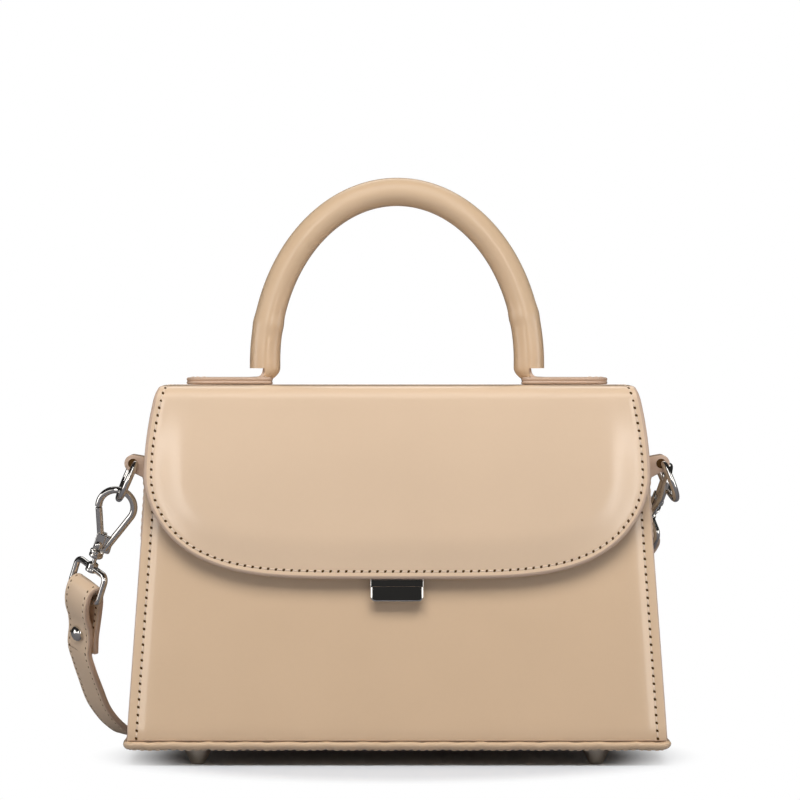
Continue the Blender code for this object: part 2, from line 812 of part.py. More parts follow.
def build_ring_loop(name, side):
    bar = ring_bar(1)
    loop_low = bar.z - loop_drop
    loop_top = bar.z + loop_rise
    inner_low = half_width(loop_low) + clearance
    inner_top = half_width(loop_top) + clearance
    outline = [(inner_low, loop_low), (inner_top, loop_top)]
    outline += corner_arc(bar.x, bar.z, loop_outer_radius, loop_arc_start,
                          loop_arc_end, 14)
    strip_x = inner_low + loop_thickness
    outline += [(half_width(bar.z) + loop_thickness + clearance,
                 bar.z - loop_outer_radius - loop_thickness), (strip_x, loop_low)]

    def place(a, b, c):
        return (side * a, c, b)

    loop = add_object(name, prism_mesh(outline, -loop_half_width, loop_half_width,
                                       place), tan_leather)
    turn = Matrix.Rotation(math.pi / 2, 4, "X")
    reach = loop_half_width + overrun
    hole = add_object("hole " + name, turned_mesh(
        [(0, -reach), (loop_hole_radius, -reach), (loop_hole_radius, reach),
         (0, reach)], 20), tan_leather, Matrix.Translation(ring_bar(side)) @ turn)
    cut(loop, hole)


def build_ring(name, side):
    """D ring: straight bar in the loop, two arms and a half-round bow."""
    down = Vector((math.sin(ring_tilt) * side, 0, -math.cos(ring_tilt)))
    across = Vector((0, 1, 0))
    corner = ring_corner_radius
    flat = []
    for i in range(13):
        angle = math.pi * i / 12
        flat.append((ring_half_width * math.cos(angle),
                     ring_arm + ring_half_width * math.sin(angle)))
    flat += corner_arc(-(ring_half_width - corner), corner, corner, 180, 270, 3)
    flat += corner_arc(ring_half_width - corner, corner, corner, 270, 360, 3)
    points = [across * a + down * b for a, b in flat]
    add_object(name, wire_mesh(points, ring_wire_radius, 10, closed=True), nickel,
               Matrix.Translation(ring_bar(side)))


# Snap hooks, gates, swivels and strap rings, drawn in the hook's own plane
def axes_matrix(origin, u, v):
    n = u.cross(v)
    return Matrix(((u.x, v.x, n.x, origin.x), (u.y, v.y, n.y, origin.y),
                   (u.z, v.z, n.z, origin.z), (0, 0, 0, 1)))


def left_hook_matrix():
    """Hangs from the lowest point of the left ring, its tail leaning back."""
    tilt = math.radians(left_hook_tilt_deg)
    lean = math.radians(left_hook_lean_deg)
    down = Vector((-math.sin(ring_tilt), 0, -math.cos(ring_tilt)))
    u = Vector((math.cos(tilt), 0, -math.sin(tilt)))
    straight = Vector((math.sin(tilt), 0, math.cos(tilt)))
    v = straight * math.cos(lean) - Vector((0, 1, 0)) * math.sin(lean)
    origin = ring_bar(-1) + down * (ring_arm + ring_half_width) + v * left_hook_rise
    return axes_matrix(origin, u, v)


def right_hook_matrix():
    """Hangs on the far arm of the right ring, its tail going back and down."""
    v = -Vector(right_hook_tail_shares).normalized()
    plane = Vector(right_hook_plane_shares)
    plane = (plane - v * plane.dot(v)).normalized()
    return axes_matrix(Vector(right_hook_place), v.cross(plane), v)


def rod(name, matrix, u, low, high, radius, sides, material):
    """Round rod along the hook's own axis, between two levels."""
    profile = [(0, low), (radius, low), (radius, high), (0, high)]
    stand = Matrix.Rotation(-math.pi / 2, 4, "X")
    place = matrix @ Matrix.Translation((u, 0, 0)) @ stand
    return add_object(name, turned_mesh(profile, sides), material, place)


def cross_rod(name, matrix, u, v, half_length, radius, sides, material):
    """Round rod across the hook's plane."""
    profile = [(0, -half_length), (radius, -half_length), (radius, half_length),
               (0, half_length)]
    place = matrix @ Matrix.Translation((u, v, 0))
    return add_object(name, turned_mesh(profile, sides), material, place)


def build_hook(name, matrix):
    start, stop = hook_arc_start_deg, hook_arc_end_deg
    arc = corner_arc(0, -hook_arc_drop, hook_arc_radius, start, stop, 16)
    points = [Vector((hook_foot_u, -hook_foot_v, 0))]
    points += [Vector((a, b, 0)) for a, b in arc]
    frame = add_object(name, wire_mesh(points, hook_wire_radius, 12), nickel, matrix)
    block = add_object("block " + name, block_mesh(
        (block_left_u, -block_low_v, -block_half_thickness),
        (block_right_u, -block_high_v, block_half_thickness)), nickel, matrix)
    join(frame, block)
    collar = rod("collar " + name, matrix, hook_axis_u, -collar_low_v, -collar_high_v,
                 collar_radius, 20, nickel)
    join(frame, collar)
    bore = rod("pin bore " + name, matrix, hook_axis_u, -collar_low_v - overrun,
               -collar_low_v + pin_depth + clearance, pin_radius + running_gap, 16,
               nickel)
    cut(frame, bore)
    hole = cross_rod("rivet hole " + name, matrix, gate_pivot_u, -gate_pivot_v,
                     fork_half_thickness + overrun, gate_rivet_radius + running_gap, 12,
                     nickel)
    cut(frame, hole)


def build_gate(name, matrix):
    angle = math.radians(hook_arc_end_deg)
    nose = Vector((hook_arc_radius * math.cos(angle),
                   -hook_arc_drop + hook_arc_radius * math.sin(angle), 0))
    heel = Vector((gate_heel_u, -(fork_high_v + fork_slot_v) / 2, 0))
    along = (heel - nose).normalized()
    pivot = Vector((gate_pivot_u, -gate_pivot_v, 0))
    place = matrix @ Matrix.Translation(pivot)
    tip = nose + along * clearance * 1.5
    bar = add_object(name, wire_mesh([tip - pivot, heel - pivot], gate_radius, 12),
                     nickel, place)
    fork = add_object("fork " + name, block_mesh(
        (fork_left_u, -fork_low_v, -fork_half_thickness),
        (fork_right_u, -fork_high_v, fork_half_thickness)), nickel, matrix)
    join(bar, fork)
    slot_half = block_half_thickness + clearance
    slot = add_object("slot " + name, block_mesh(
        (fork_left_u - overrun, -fork_low_v - overrun, -slot_half),
        (fork_right_u + overrun, -fork_slot_v, slot_half)), nickel, matrix)
    cut(bar, slot)
    hole = cross_rod("rivet hole " + name, matrix, gate_pivot_u, -gate_pivot_v,
                     fork_half_thickness + overrun, gate_rivet_radius + running_gap, 12,
                     nickel)
    cut(bar, hole)


def build_gate_rivet(name, matrix):
    half = fork_half_thickness + clearance
    head = half + gate_rivet_head_height
    dome = gate_rivet_head_radius * 0.7
    profile = [(0, -head), (dome, -head), (gate_rivet_head_radius, -half),
               (gate_rivet_radius, -half), (gate_rivet_radius, half),
               (gate_rivet_head_radius, half), (dome, head), (0, head)]
    place = matrix @ Matrix.Translation((gate_pivot_u, -gate_pivot_v, 0))
    add_object(name, turned_mesh(profile, 16), nickel, place)


boss_high_v = collar_low_v + clearance
boss_low_v = boss_high_v + boss_height
ring_top_v = boss_high_v + boss_height / 2
pin_head_v = boss_low_v + clearance
strap_bar_v = ring_top_v + strap_ring_drop


def build_swivel_pin(name, matrix):
    profile = [(0, -pin_head_v - pin_head_height),
               (pin_head_radius, -pin_head_v - pin_head_height),
               (pin_head_radius, -pin_head_v), (pin_radius, -pin_head_v),
               (pin_radius, -collar_low_v + pin_depth),
               (0, -collar_low_v + pin_depth)]
    stand = Matrix.Rotation(-math.pi / 2, 4, "X")
    place = matrix @ Matrix.Translation((hook_axis_u, 0, 0)) @ stand
    add_object(name, turned_mesh(profile, 20), nickel, place)


def strap_ring_matrix(matrix, turn_deg):
    """The ring's own frame: on the hook's axis at the middle of the strap's bar."""
    turn = Matrix.Rotation(math.radians(-turn_deg), 4, "Y")
    return matrix @ Matrix.Translation((hook_axis_u, -strap_bar_v, 0)) @ turn


def build_strap_ring(name, matrix):
    """Rounded rectangle of wire with a boss that turns on the swivel pin."""
    corner = strap_ring_corner
    outline = rounded_rectangle(strap_ring_half_width, strap_ring_drop / 2, corner, 4)
    points = [Vector((a, b + strap_ring_drop / 2, 0)) for a, b in outline]
    ring = add_object(name, wire_mesh(points, strap_ring_wire_radius, 10, closed=True),
                      nickel, matrix)
    middle = strap_ring_drop
    boss = rod("boss " + name, matrix, 0, middle - boss_height / 2,
               middle + boss_height / 2, boss_radius, 20, nickel)
    join(ring, boss)
    bore = rod("bore " + name, matrix, 0, middle - boss_height, middle + boss_height,
               pin_radius + running_gap, 16, nickel)
    cut(ring, bore)


def millimetres(places):
    return [Vector(place) * MM for place in places]


# Strap route, chosen by hand: the fall at the left, the runs on the floor behind the
# bag, and the rise to the right ring
left_fall = millimetres([
    (-129.0, 25.6, 35), (-126.8, 31.7, 27), (-124, 38.8, 17.8), (-120.4, 45.2, 11.4),
    (-116.6, 51, 6.9), (-112.6, 55.6, 4.2)])
twist_route = millimetres([
    (-105.5, 61.8, 4), (-97, 67.2, 5.9), (-86, 71, 7.3), (-72, 72.8, 8)])
floor_route = millimetres([
    (-54, 72.4, 7.8), (-28, 71.4, 7.8), (0, 72.4, 7.8), (30, 71.6, 7.8),
    (60, 72.2, 7.8), (80, 73.6, 7.8), (91, 80, 7.8), (92.5, 89, 7.8),
    (84, 96.2, 7.8), (62, 98, 7.8), (30, 97, 7.8), (0, 98.2, 7.8), (-30, 97.2, 7.8),
    (-62, 97.8, 7.8), (-80, 99.6, 7.8), (-90.5, 106, 7.8), (-91.5, 115, 7.8),
    (-82, 122, 7.8), (-60, 124, 7.8), (-30, 123.2, 7.8), (0, 124.2, 7.8),
    (26, 123.6, 7.8), (50, 124, 7.8)])
right_rise = millimetres([
    (66, 123.2, 9.8), (78, 120.6, 15), (87, 115.2, 23.6), (93, 107, 33.8),
    (96.4, 97.2, 44.6), (98.2, 87, 55.8), (99, 76.5, 66.6)])
left_hang_shares = (-0.05, 0.44, -0.89)
right_hang_shares = (-0.12, 0.70, -0.68)
floor_flat_shares = (0.66, -0.75, 0)
floor_edge_shares = (0, 0, -1)


def strap_end_frame(ring_matrix, hang_shares, side):
    """Bar centre, width direction, hanging direction and outer side at a ring."""
    bar = ring_matrix.translation.copy()
    width = (ring_matrix.to_3x3() @ Vector((1, 0, 0))).normalized()
    down = Vector(hang_shares)
    down = (down - width * down.dot(width)).normalized()
    outer = down.cross(width)
    if outer.x * side < 0:
        width, outer = -width, -outer
    return bar, width, down, outer


def strap_end(ring_matrix, hang_shares, side):
    """Points of one end, from the tail's tip over the bar to below the rivet."""
    bar, width, down, outer = strap_end_frame(ring_matrix, hang_shares, side)
    layer = (strap_thickness + clearance) / 2
    over = strap_ring_wire_radius + clearance + strap_thickness / 2
    shape = [(-layer, strap_tail), (-layer, strap_rivet_drop),
             (-layer * 1.4, strap_rivet_drop * 0.72),
             (-strap_bulge * 0.62, strap_rivet_drop * 0.44),
             (-strap_bulge * 0.7, strap_rivet_drop * 0.16),
             (-over * 0.72, -over * 0.72), (0, -over), (over * 0.72, -over * 0.72),
             (strap_bulge * 0.92, strap_rivet_drop * 0.16),
             (strap_bulge * 0.86, strap_rivet_drop * 0.44),
             (layer * 1.4, strap_rivet_drop * 0.72), (layer, strap_rivet_drop),
             (layer * 1.2, strap_tail + clearance)]
    points = [bar + outer * a + down * b for a, b in shape]
    return points, [width] * len(points)


def build_strap(left_ring, right_ring):
    left_points, left_widths = strap_end(left_ring, left_hang_shares, -1)
    right_points, right_widths = strap_end(right_ring, right_hang_shares, 1)
    flat = Vector(floor_flat_shares)
    on_edge = Vector(floor_edge_shares)
    points = list(left_points)
    widths = list(left_widths)
    start, end = left_widths[0], -right_widths[0]

    def add_stretch(places, one, two):
        for i, place in enumerate(places):
            share = (i + 1) / (len(places) + 1)
            points.append(place)
            widths.append(one.slerp(two, share) if one != two else one.copy())

    add_stretch(left_fall, start, flat)
    add_stretch(twist_route, flat, on_edge)
    add_stretch(floor_route, on_edge, on_edge)
    add_stretch(right_rise, on_edge, end)
    right_widths = [end] * len(right_points)
    points += reversed(right_points)
    widths += reversed(right_widths)
    steps = 3
    line = smooth_curve(points, steps)
    builder = bmesh.new()
    rings = []
    for i, point in enumerate(line):
        before = line[max(i - 1, 0)]
        after = line[min(i + 1, len(line) - 1)]
        tangent = (after - before).normalized()
        at = i / steps
        low = min(int(at), len(widths) - 1)
        high = min(low + 1, len(widths) - 1)
        width = widths[low].lerp(widths[high], at - low)
        width = (width - tangent * width.dot(tangent)).normalized()
        outer = tangent.cross(width)
        ring = []
        for a, b in ((1, 1), (-1, 1), (-1, -1), (1, -1)):
            ring.append(builder.verts.new(point + width * (a * strap_width / 2)
                                          + outer * (b * strap_thickness / 2)))
        rings.append(ring)
    for one, two in zip(rings, rings[1:]):
        for k in range(4):
            m = (k + 1) % 4
            builder.faces.new((one[k], one[m], two[m], two[k]))
    builder.faces.new(list(reversed(rings[0])))
    builder.faces.new(rings[-1])
    strap = add_object("strap", builder, tan_leather)
    length = sum((b - a).length for a, b in zip(line, line[1:]))
    print("strap length in metres", round(length, 4))
    return strap


def build_strap_rivet(name, strap, ring_matrix, hang_shares, side):
    bar, width, down, outer = strap_end_frame(ring_matrix, hang_shares, side)
    origin = bar + down * strap_rivet_drop
    place = axes_matrix(origin, down, width)
    front = strap_thickness + clearance / 2 + clearance
    back = strap_thickness + clearance / 2 + clearance
    tool = add_object("hole " + name, turned_mesh(
        [(0, -front - overrun), (strap_rivet_shank_radius + running_gap,
                                 -front - overrun),
         (strap_rivet_shank_radius + running_gap, front + overrun),
         (0, front + overrun)], 12), nickel, place)
    cut(strap, tool)
    dome = [(strap_rivet_radius * math.cos(math.radians(a)),
             front + strap_rivet_height * math.sin(math.radians(a)))
            for a in (0, 25, 50, 75)]
    profile = [(0, -back - strap_rivet_back_height),
               (strap_rivet_back_radius, -back - strap_rivet_back_height),
               (strap_rivet_back_radius, -back), (strap_rivet_shank_radius, -back),
               (strap_rivet_shank_radius, front)] + dome
    profile.append((0, front + strap_rivet_height))
    add_object(name, turned_mesh(profile, 16), nickel, place)


def build_all():
    build_welt()
    build_base()
    build_walls()
    build_lining()
    build_flap()
    build_clasp()
    build_tab("handle_tab_left", -1)
    build_tab("handle_tab_right", 1)
    build_handle()
    rings = {}
    for side, name, hook in ((-1, "left", left_hook_matrix()),
                             (1, "right", right_hook_matrix())):
        build_ring_loop("ring_loop_" + name, side)
        build_ring("d_ring_" + name, side)
        build_hook("hook_frame_" + name, hook)
        build_gate("hook_gate_" + name, hook)
        build_gate_rivet("gate_rivet_" + name, hook)
        build_swivel_pin("swivel_pin_" + name, hook)
        turn = left_strap_ring_turn_deg if side < 0 else right_strap_ring_turn_deg
        rings[name] = strap_ring_matrix(hook, turn)
        build_strap_ring("strap_ring_" + name, rings[name])
    strap = build_strap(rings["left"], rings["right"])
    build_strap_rivet("strap_rivet_left", strap, rings["left"], left_hang_shares, -1)
    build_strap_rivet("strap_rivet_right", strap, rings["right"], right_hang_shares, 1)


build_all()
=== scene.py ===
# %% [markdown]
# This lesson dresses a small leather flap handbag. The imported model gives every rigid part
# and every hinge, in metres, and is loaded first, so that each piece can be put straight where
# the model says. The dressed bag may not grow out of it.

# %% Load the bag
import math

import bmesh
import bpy
import numpy as np
from mathutils import Matrix, Vector


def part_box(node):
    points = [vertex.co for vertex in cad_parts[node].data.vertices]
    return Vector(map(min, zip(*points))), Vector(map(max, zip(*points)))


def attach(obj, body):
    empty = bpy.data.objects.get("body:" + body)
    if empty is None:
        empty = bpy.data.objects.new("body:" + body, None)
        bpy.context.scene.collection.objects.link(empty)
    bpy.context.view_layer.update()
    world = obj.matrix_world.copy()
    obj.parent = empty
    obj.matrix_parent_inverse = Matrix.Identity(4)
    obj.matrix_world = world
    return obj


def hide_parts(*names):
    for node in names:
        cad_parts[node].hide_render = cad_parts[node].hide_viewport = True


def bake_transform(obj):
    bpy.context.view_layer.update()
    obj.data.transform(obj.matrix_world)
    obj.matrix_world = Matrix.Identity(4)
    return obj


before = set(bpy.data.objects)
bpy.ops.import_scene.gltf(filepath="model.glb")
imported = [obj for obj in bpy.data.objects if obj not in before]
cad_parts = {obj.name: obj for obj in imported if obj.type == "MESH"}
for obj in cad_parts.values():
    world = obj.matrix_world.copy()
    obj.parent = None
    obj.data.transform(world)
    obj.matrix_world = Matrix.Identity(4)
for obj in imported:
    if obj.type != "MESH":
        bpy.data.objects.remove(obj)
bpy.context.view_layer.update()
MM = 0.001

# %% [markdown]
# The photograph was taken from far away with the lens level, so the bag's upright edges stay
# upright. Tilting a near camera would make them lean together. A long lens with a small
# upward or downward shift keeps them straight and still frames the bag. Placing the camera
# first lets every piece be judged in the frame it will be seen in.

# %% Camera
IMAGE_PIXELS = 800
SENSOR_MM = 36.0
VIEW_DISTANCE = 1.7
VIEW_HEIGHT = 0.1752
METRES_PER_PIXEL = 0.000406
SHIFT_X_PIXELS = 3.0
SHIFT_Y_PIXELS = -76.0
NEAREST_SEEN = 0.05

camera_data = bpy.data.cameras.new("camera")
camera_data.sensor_width = SENSOR_MM
camera_data.lens = SENSOR_MM * VIEW_DISTANCE / (IMAGE_PIXELS * METRES_PER_PIXEL)
camera_data.shift_x = SHIFT_X_PIXELS / IMAGE_PIXELS
camera_data.shift_y = SHIFT_Y_PIXELS / IMAGE_PIXELS
camera_data.clip_start = NEAREST_SEEN
camera = bpy.data.objects.new("camera", camera_data)
camera.location = (0, -VIEW_DISTANCE, VIEW_HEIGHT)
camera.rotation_euler = (math.pi / 2, 0, 0)
bpy.context.scene.collection.objects.link(camera)
bpy.context.scene.camera = camera
bpy.context.scene.view_settings.view_transform = "Standard"
print("lens in mm", round(camera_data.lens, 1))

# %% [markdown]
# A finish is a network of shader nodes. Wired one by one they are hard to read, so one class
# wraps a socket: a plus, a minus or a times between two of them adds the Math node for it, and
# the maths reads like a sum. One method makes every other kind of node, for the finishes and
# for the world's light alike.

# %% Shader helper
class Link:
    """One output socket of a node tree, with ordinary maths on it."""

    def __init__(self, tree, socket):
        self.tree = tree
        self.socket = socket

    def _math(self, operation, first, second):
        node = self.tree.nodes.new("ShaderNodeMath")
        node.operation = operation
        for socket, value in zip(node.inputs, (first, second)):
            if isinstance(value, Link):
                self.tree.links.new(value.socket, socket)
            else:
                socket.default_value = value
        return Link(self.tree, node.outputs[0])

    def __add__(self, other):
        return self._math("ADD", self, other)

    def __sub__(self, other):
        return self._math("SUBTRACT", self, other)

    def __mul__(self, other):
        return self._math("MULTIPLY", self, other)

    def __radd__(self, other):
        return self._math("ADD", other, self)

    def __rsub__(self, other):
        return self._math("SUBTRACT", other, self)

    def __rmul__(self, other):
        return self._math("MULTIPLY", other, self)


class Network:
    """A node tree in which one method makes every node but the Math nodes."""

    def __init__(self, tree):
        self.tree = tree

    def put(self, socket, value):
        if isinstance(value, Link):
            self.tree.links.new(value.socket, socket)
        elif isinstance(value, tuple) and len(value) == 3 and socket.type == "RGBA":
            socket.default_value = (*value, 1.0)
        else:
            socket.default_value = value

    def node(self, kind, settings=None, sockets=None, output=0):
        node = self.tree.nodes.new(kind)
        for name, value in (settings or {}).items():
            setattr(node, name, value)
        for name, value in (sockets or {}).items():
            self.put(node.inputs[name], value)
        return Link(self.tree, node.outputs[output])

    def light_ray(self, kind):
        """1 where the ray being followed is of this kind, and 0 elsewhere."""
        return self.node("ShaderNodeLightPath", output=kind)

    def fade(self, value, low, high):
        """Rises softly from 0 at the low value to 1 at the high one."""
        return self.node("ShaderNodeMapRange", {"interpolation_type": "SMOOTHSTEP"},
                         {"Value": value, "From Min": low, "From Max": high})


class Paint(Network):
    """A finish: a material with a Principled shader, whose plain values are given by name."""

    def __init__(self, name, **sockets):
        self.material = bpy.data.materials.new(name)
        self.material.use_nodes = True
        super().__init__(self.material.node_tree)
        self.shader = self.tree.nodes["Principled BSDF"]
        for socket, value in sockets.items():
            self.set(socket.replace("_", " "), value)

    def set(self, socket, value):
        self.put(self.shader.inputs[socket], value)

    def place(self):
        return self.node("ShaderNodeTexCoord", output="Object")

    def noise(self, scale, detail):
        return self.node("ShaderNodeTexNoise", {}, {
            "Scale": scale, "Detail": detail, "Vector": self.place()}, "Fac")

    def blend(self, factor, first, second):
        """Mixes two colours; sockets 0, 6 and 7 are its factor and its colours."""
        return self.node("ShaderNodeMix", {"data_type": "RGBA"},
                         {0: factor, 6: first, 7: second}, 2)

    def bump(self, height, distance, strength):
        return self.node("ShaderNodeBump", {}, {
            "Strength": strength, "Distance": distance, "Height": height}, "Normal")


def shade(colour, factor):
    return tuple(min(c * factor, 1.0) for c in colour)

# %% [markdown]
# The bag is cut from smooth calf leather with a soft polish. A photograph of leather wrapped
# round the pieces would stretch and repeat, so the leather is worked out from noise instead.
# It isn't one flat colour: broad clouds of slightly warmer and cooler tan run through it, and
# a grain too fine to see as grain breaks up the gloss. Each part of the bag gets its own tone
# of the same recipe, and a clear coat stands for the polish. The lining and the painted edge
# have tones of their own. The flap's paler tan is painted sheen, the handle's darker tan is
# painted shade against the lamp above it, and the strap's tan is its own greyer tone made
# lighter with painted light where the lamps reach it less.

# %% Leather
TAN = (0.650, 0.456, 0.290)
CLOUD_SCALE = 22.0
GRAIN_SCALE = 900.0
PORE_SCALE = 2600.0
GRAIN_HEIGHT = 0.00003
POLISH_ROUGHNESS = 0.17
LEATHER_IOR = 1.48


def leather(name, colour, roughness, grain=1.0, cloud=0.05, gloss=0.0):
    paint = Paint(name, Coat_Weight=gloss, Coat_Roughness=POLISH_ROUGHNESS, IOR=LEATHER_IOR)
    clouds = paint.noise(CLOUD_SCALE, 2.0)
    grains = paint.noise(GRAIN_SCALE, 3.0)
    pores = paint.node("ShaderNodeTexVoronoi", {"feature": "F1"},
                       {"Scale": PORE_SCALE, "Vector": paint.place()}, "Distance")
    tone = clouds * 0.8 + grains * 0.2
    paint.set("Base Color", paint.blend(tone, shade(colour, 1 - cloud),
                                        shade(colour, 1 + cloud)))
    paint.set("Roughness", grains * 0.10 + clouds * 0.06 + (roughness - 0.08))
    height = grains * 0.6 + pores * 0.4
    paint.set("Normal", paint.bump(height, GRAIN_HEIGHT * grain, 0.5))
    return paint.material


calf = leather("calf leather", TAN, 0.38, gloss=0.8)
# Paler than the body's tan: painted sheen on the flap's polish.
flap_sheen_calf = leather("flap calf leather with painted sheen", (0.705, 0.514, 0.350), 0.36, gloss=0.8)
# Darker than the body's tan: painted shade, as the lamp above lights the handle strongly.
handle_shaded_calf = leather("handle calf leather with painted shade", (0.600, 0.425, 0.270), 0.38, gloss=0.5)
# A greyer tan of its own, made lighter with painted light where the lamps reach the strap less.
strap_calf_tone_and_light = leather("strap calf leather, own tone and painted light", (0.710, 0.520, 0.355), 0.45, gloss=0.2)
suede = leather("suede lining", (0.520, 0.370, 0.255), 0.80, grain=3.0, cloud=0.10)
edge_paint = leather("painted edge", (0.540, 0.385, 0.285), 0.45, grain=0.5, gloss=0.2)
print("leathers", [finish.name for finish in (calf, flap_sheen_calf, handle_shaded_calf, strap_calf_tone_and_light, suede,
                                              edge_paint)])

# %% [markdown]
# The thread is tan like the leather, so the eye sees the needle holes first: small dark
# slanted dots. Both could be painted on the leather, but then they would have no height and
# would blur from close by. They are pieces of their own, so each has a plain finish: waxed
# thread with its twist, and for the holes a dull dark brown that is painted shade, the shade
# inside a pricked hole.

# %% Thread and needle holes
TWIST_SCALE = 2400.0
TWIST_HEIGHT = 0.00005
HOLE_SCALE = 1500.0


def thread_paint():
    paint = Paint("waxed thread", Roughness=0.55)
    twist = paint.noise(TWIST_SCALE, 1.0)
    paint.set("Base Color", paint.blend(twist, (0.62, 0.46, 0.33), (0.86, 0.72, 0.58)))
    paint.set("Normal", paint.bump(twist, TWIST_HEIGHT, 0.6))
    return paint.material


def hole_shade_paint():
    paint = Paint("needle hole", Roughness=0.9, Specular_IOR_Level=0.0)
    # Painted shade: the noise makes some holes look deeper and darker than others.
    depth = paint.noise(HOLE_SCALE, 1.0)
    paint.set("Base Color", paint.blend(depth, (0.060, 0.028, 0.009), (0.100, 0.052, 0.020)))
    return paint.material


thread = thread_paint()
needle_hole_shade = hole_shade_paint()
print("seam finishes", thread.name, "and", needle_hole_shade.name)

# %% [markdown]
# The fittings are polished nickel. A mirror has hardly a colour of its own and shows the
# studio, so most of its look comes from what stands round it. Faint clouds in the roughness
# and hair-fine brushing keep it from looking perfect, as no worn fitting is. The feet are a
# satin pale brass, and the hidden nuts and plates are plain steel.

# %% Metals
TARNISH_SCALE = 160.0
BRUSH_SCALE = 1400.0
BRUSH_HEIGHT = 0.000001


def metal(name, colour, roughness, cloud):
    paint = Paint(name, Metallic=1.0)
    clouds = paint.noise(TARNISH_SCALE, 3.0)
    brushed = paint.noise(BRUSH_SCALE, 2.0)
    paint.set("Base Color", paint.blend(clouds, shade(colour, 0.95), colour))
    paint.set("Roughness", clouds * cloud + (roughness - cloud / 2))
    paint.set("Normal", paint.bump(brushed, BRUSH_HEIGHT, 0.15))
    return paint.material


nickel = metal("polished nickel", (0.70, 0.67, 0.63), 0.06, 0.04)
satin_brass = metal("satin pale brass", (0.82, 0.73, 0.60), 0.42, 0.08)
plain_steel = metal("plain steel", (0.52, 0.52, 0.53), 0.35, 0.08)
print("metals", nickel.name, satin_brass.name, plain_steel.name)

# %% [markdown]
# The inside is lined with plain cotton. A woven cloth could be drawn thread by thread, but
# from a hand's distance only its regular glitter shows, and two sets of waves crossing at
# right angles give that: in the bump as the weave's relief, and in the colour as painted
# glitter on the threads with painted shade between them. The boards, nuts and plates inside
# have the right shape already, so the model's own pieces stay and only get their finish here.

# %% Cloth and board
THREADS_PER_METRE = 420.0
WEAVE_HEIGHT = 0.00012
FADE_SCALE = 30.0


def cloth(name, colour):
    paint = Paint(name, Roughness=0.9)
    sockets = {"Scale": THREADS_PER_METRE, "Vector": paint.place()}
    across, along = (paint.node("ShaderNodeTexWave", {"bands_direction": axis}, sockets, "Fac")
                     for axis in ("X", "Z"))
    weave_and_glitter = across * 0.5 + along * 0.5
    fade = paint.noise(FADE_SCALE, 2.0)
    # The weave lightens and darkens the colour: painted glitter and painted shade; the fade is
    # the cloth's own uneven tone.
    paint.set("Base Color", paint.blend(weave_and_glitter * 0.6 + fade * 0.4, shade(colour, 0.82),
                                        shade(colour, 1.08)))
    paint.set("Normal", paint.bump(weave_and_glitter, WEAVE_HEIGHT, 0.6))
    return paint.material


cotton = cloth("cotton lining", (0.48, 0.36, 0.26))
fibre_board = leather("fibre board", (0.30, 0.22, 0.15), 0.85, grain=4.0, cloud=0.15)
INSIDE = {fibre_board: ("base_board", "front_board", "back_board", "crown_board"),
          cotton: ("handle_core",),
          plain_steel: ("clasp_magnet", "strike_plate", "foot_nut_back_left",
                        "foot_nut_back_right", "foot_nut_front_left", "foot_nut_front_right")}
for material, names in INSIDE.items():
    for name in names:
        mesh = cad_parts[name].data
        mesh.materials.clear()
        mesh.materials.append(material)
    print(material.name, "on", names)

# %% [markdown]
# Every piece that shows is built from points and faces in code. Starting from boxes and
# bending them would be quicker at first, but a stitched edge or a rolled rim needs its points
# in exact places. This small class gathers points and faces, each face with the number of its
# finish, and makes one object of them. The functions after it join rows of points, turn a
# profile and tell the direction of a line.

# %% Mesh helper
SHARP_DEGREES = 50.0


class Piece:
    """Points and faces of one piece, with a finish for each face."""

    def __init__(self, name, *finishes):
        self.name = name
        self.finishes = finishes
        self.points = []
        self.faces = []
        self.kinds = []

    def add(self, points, faces, kind=0):
        first = len(self.points)
        self.points += [tuple(p) for p in points]
        self.faces += [tuple(first + i for i in face) for face in faces]
        if isinstance(kind, int):
            kind = [kind] * len(faces)
        self.kinds += kind

    def make(self, sharp_degrees=SHARP_DEGREES):
        mesh = bpy.data.meshes.new(self.name)
        mesh.from_pydata(self.points, [], self.faces)
        for finish in self.finishes:
            mesh.materials.append(finish)
        mesh.polygons.foreach_set("material_index", self.kinds)
        builder = bmesh.new()
        builder.from_mesh(mesh)
        bmesh.ops.recalc_face_normals(builder, faces=builder.faces)
        builder.to_mesh(mesh)
        builder.free()
        mesh.shade_smooth()
        mesh.set_sharp_from_angle(angle=math.radians(sharp_degrees))
        thing = bpy.data.objects.new(self.name, mesh)
        bpy.context.scene.collection.objects.link(thing)
        print(self.name, "with", len(self.points), "points and", len(self.faces), "faces")
        return thing


def stand_in(piece, body, *nodes, slot=None, sharp_degrees=SHARP_DEGREES):
    """Makes a piece that is shown in place of some nodes, and rides on a body if one is given."""
    thing = piece.make(sharp_degrees)
    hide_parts(*nodes)
    if body:
        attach(thing, body)
    return thing


def grid_faces(rows, columns, closed=False):
    """Faces between rows of points; a closed grid joins its last column to its first."""
    faces = []
    for r in range(rows - 1):
        for c in range(columns if closed else columns - 1):
            d = (c + 1) % columns
            faces.append((r * columns + c, r * columns + d,
                          (r + 1) * columns + d, (r + 1) * columns + c))
    return faces


def end_faces(count, total):
    """The two faces that close a tube of rings: its first ring and its last."""
    return [tuple(reversed(range(count))), tuple(range(total - count, total))]


def closing_faces(count, last, shift=0):
    """Faces that join the last ring of a closed tube to its first."""
    return [(last + k, last + (k + 1) % count, (k + 1 + shift) % count, (k + shift) % count)
            for k in range(count)]


def oval(centre, one, two, radius_one, radius_two, count):
    """Points round an oval in the plane of two directions."""
    angles = [math.tau * k / count for k in range(count)]
    return [centre + one * (radius_one * math.cos(a)) + two * (radius_two * math.sin(a))
            for a in angles]


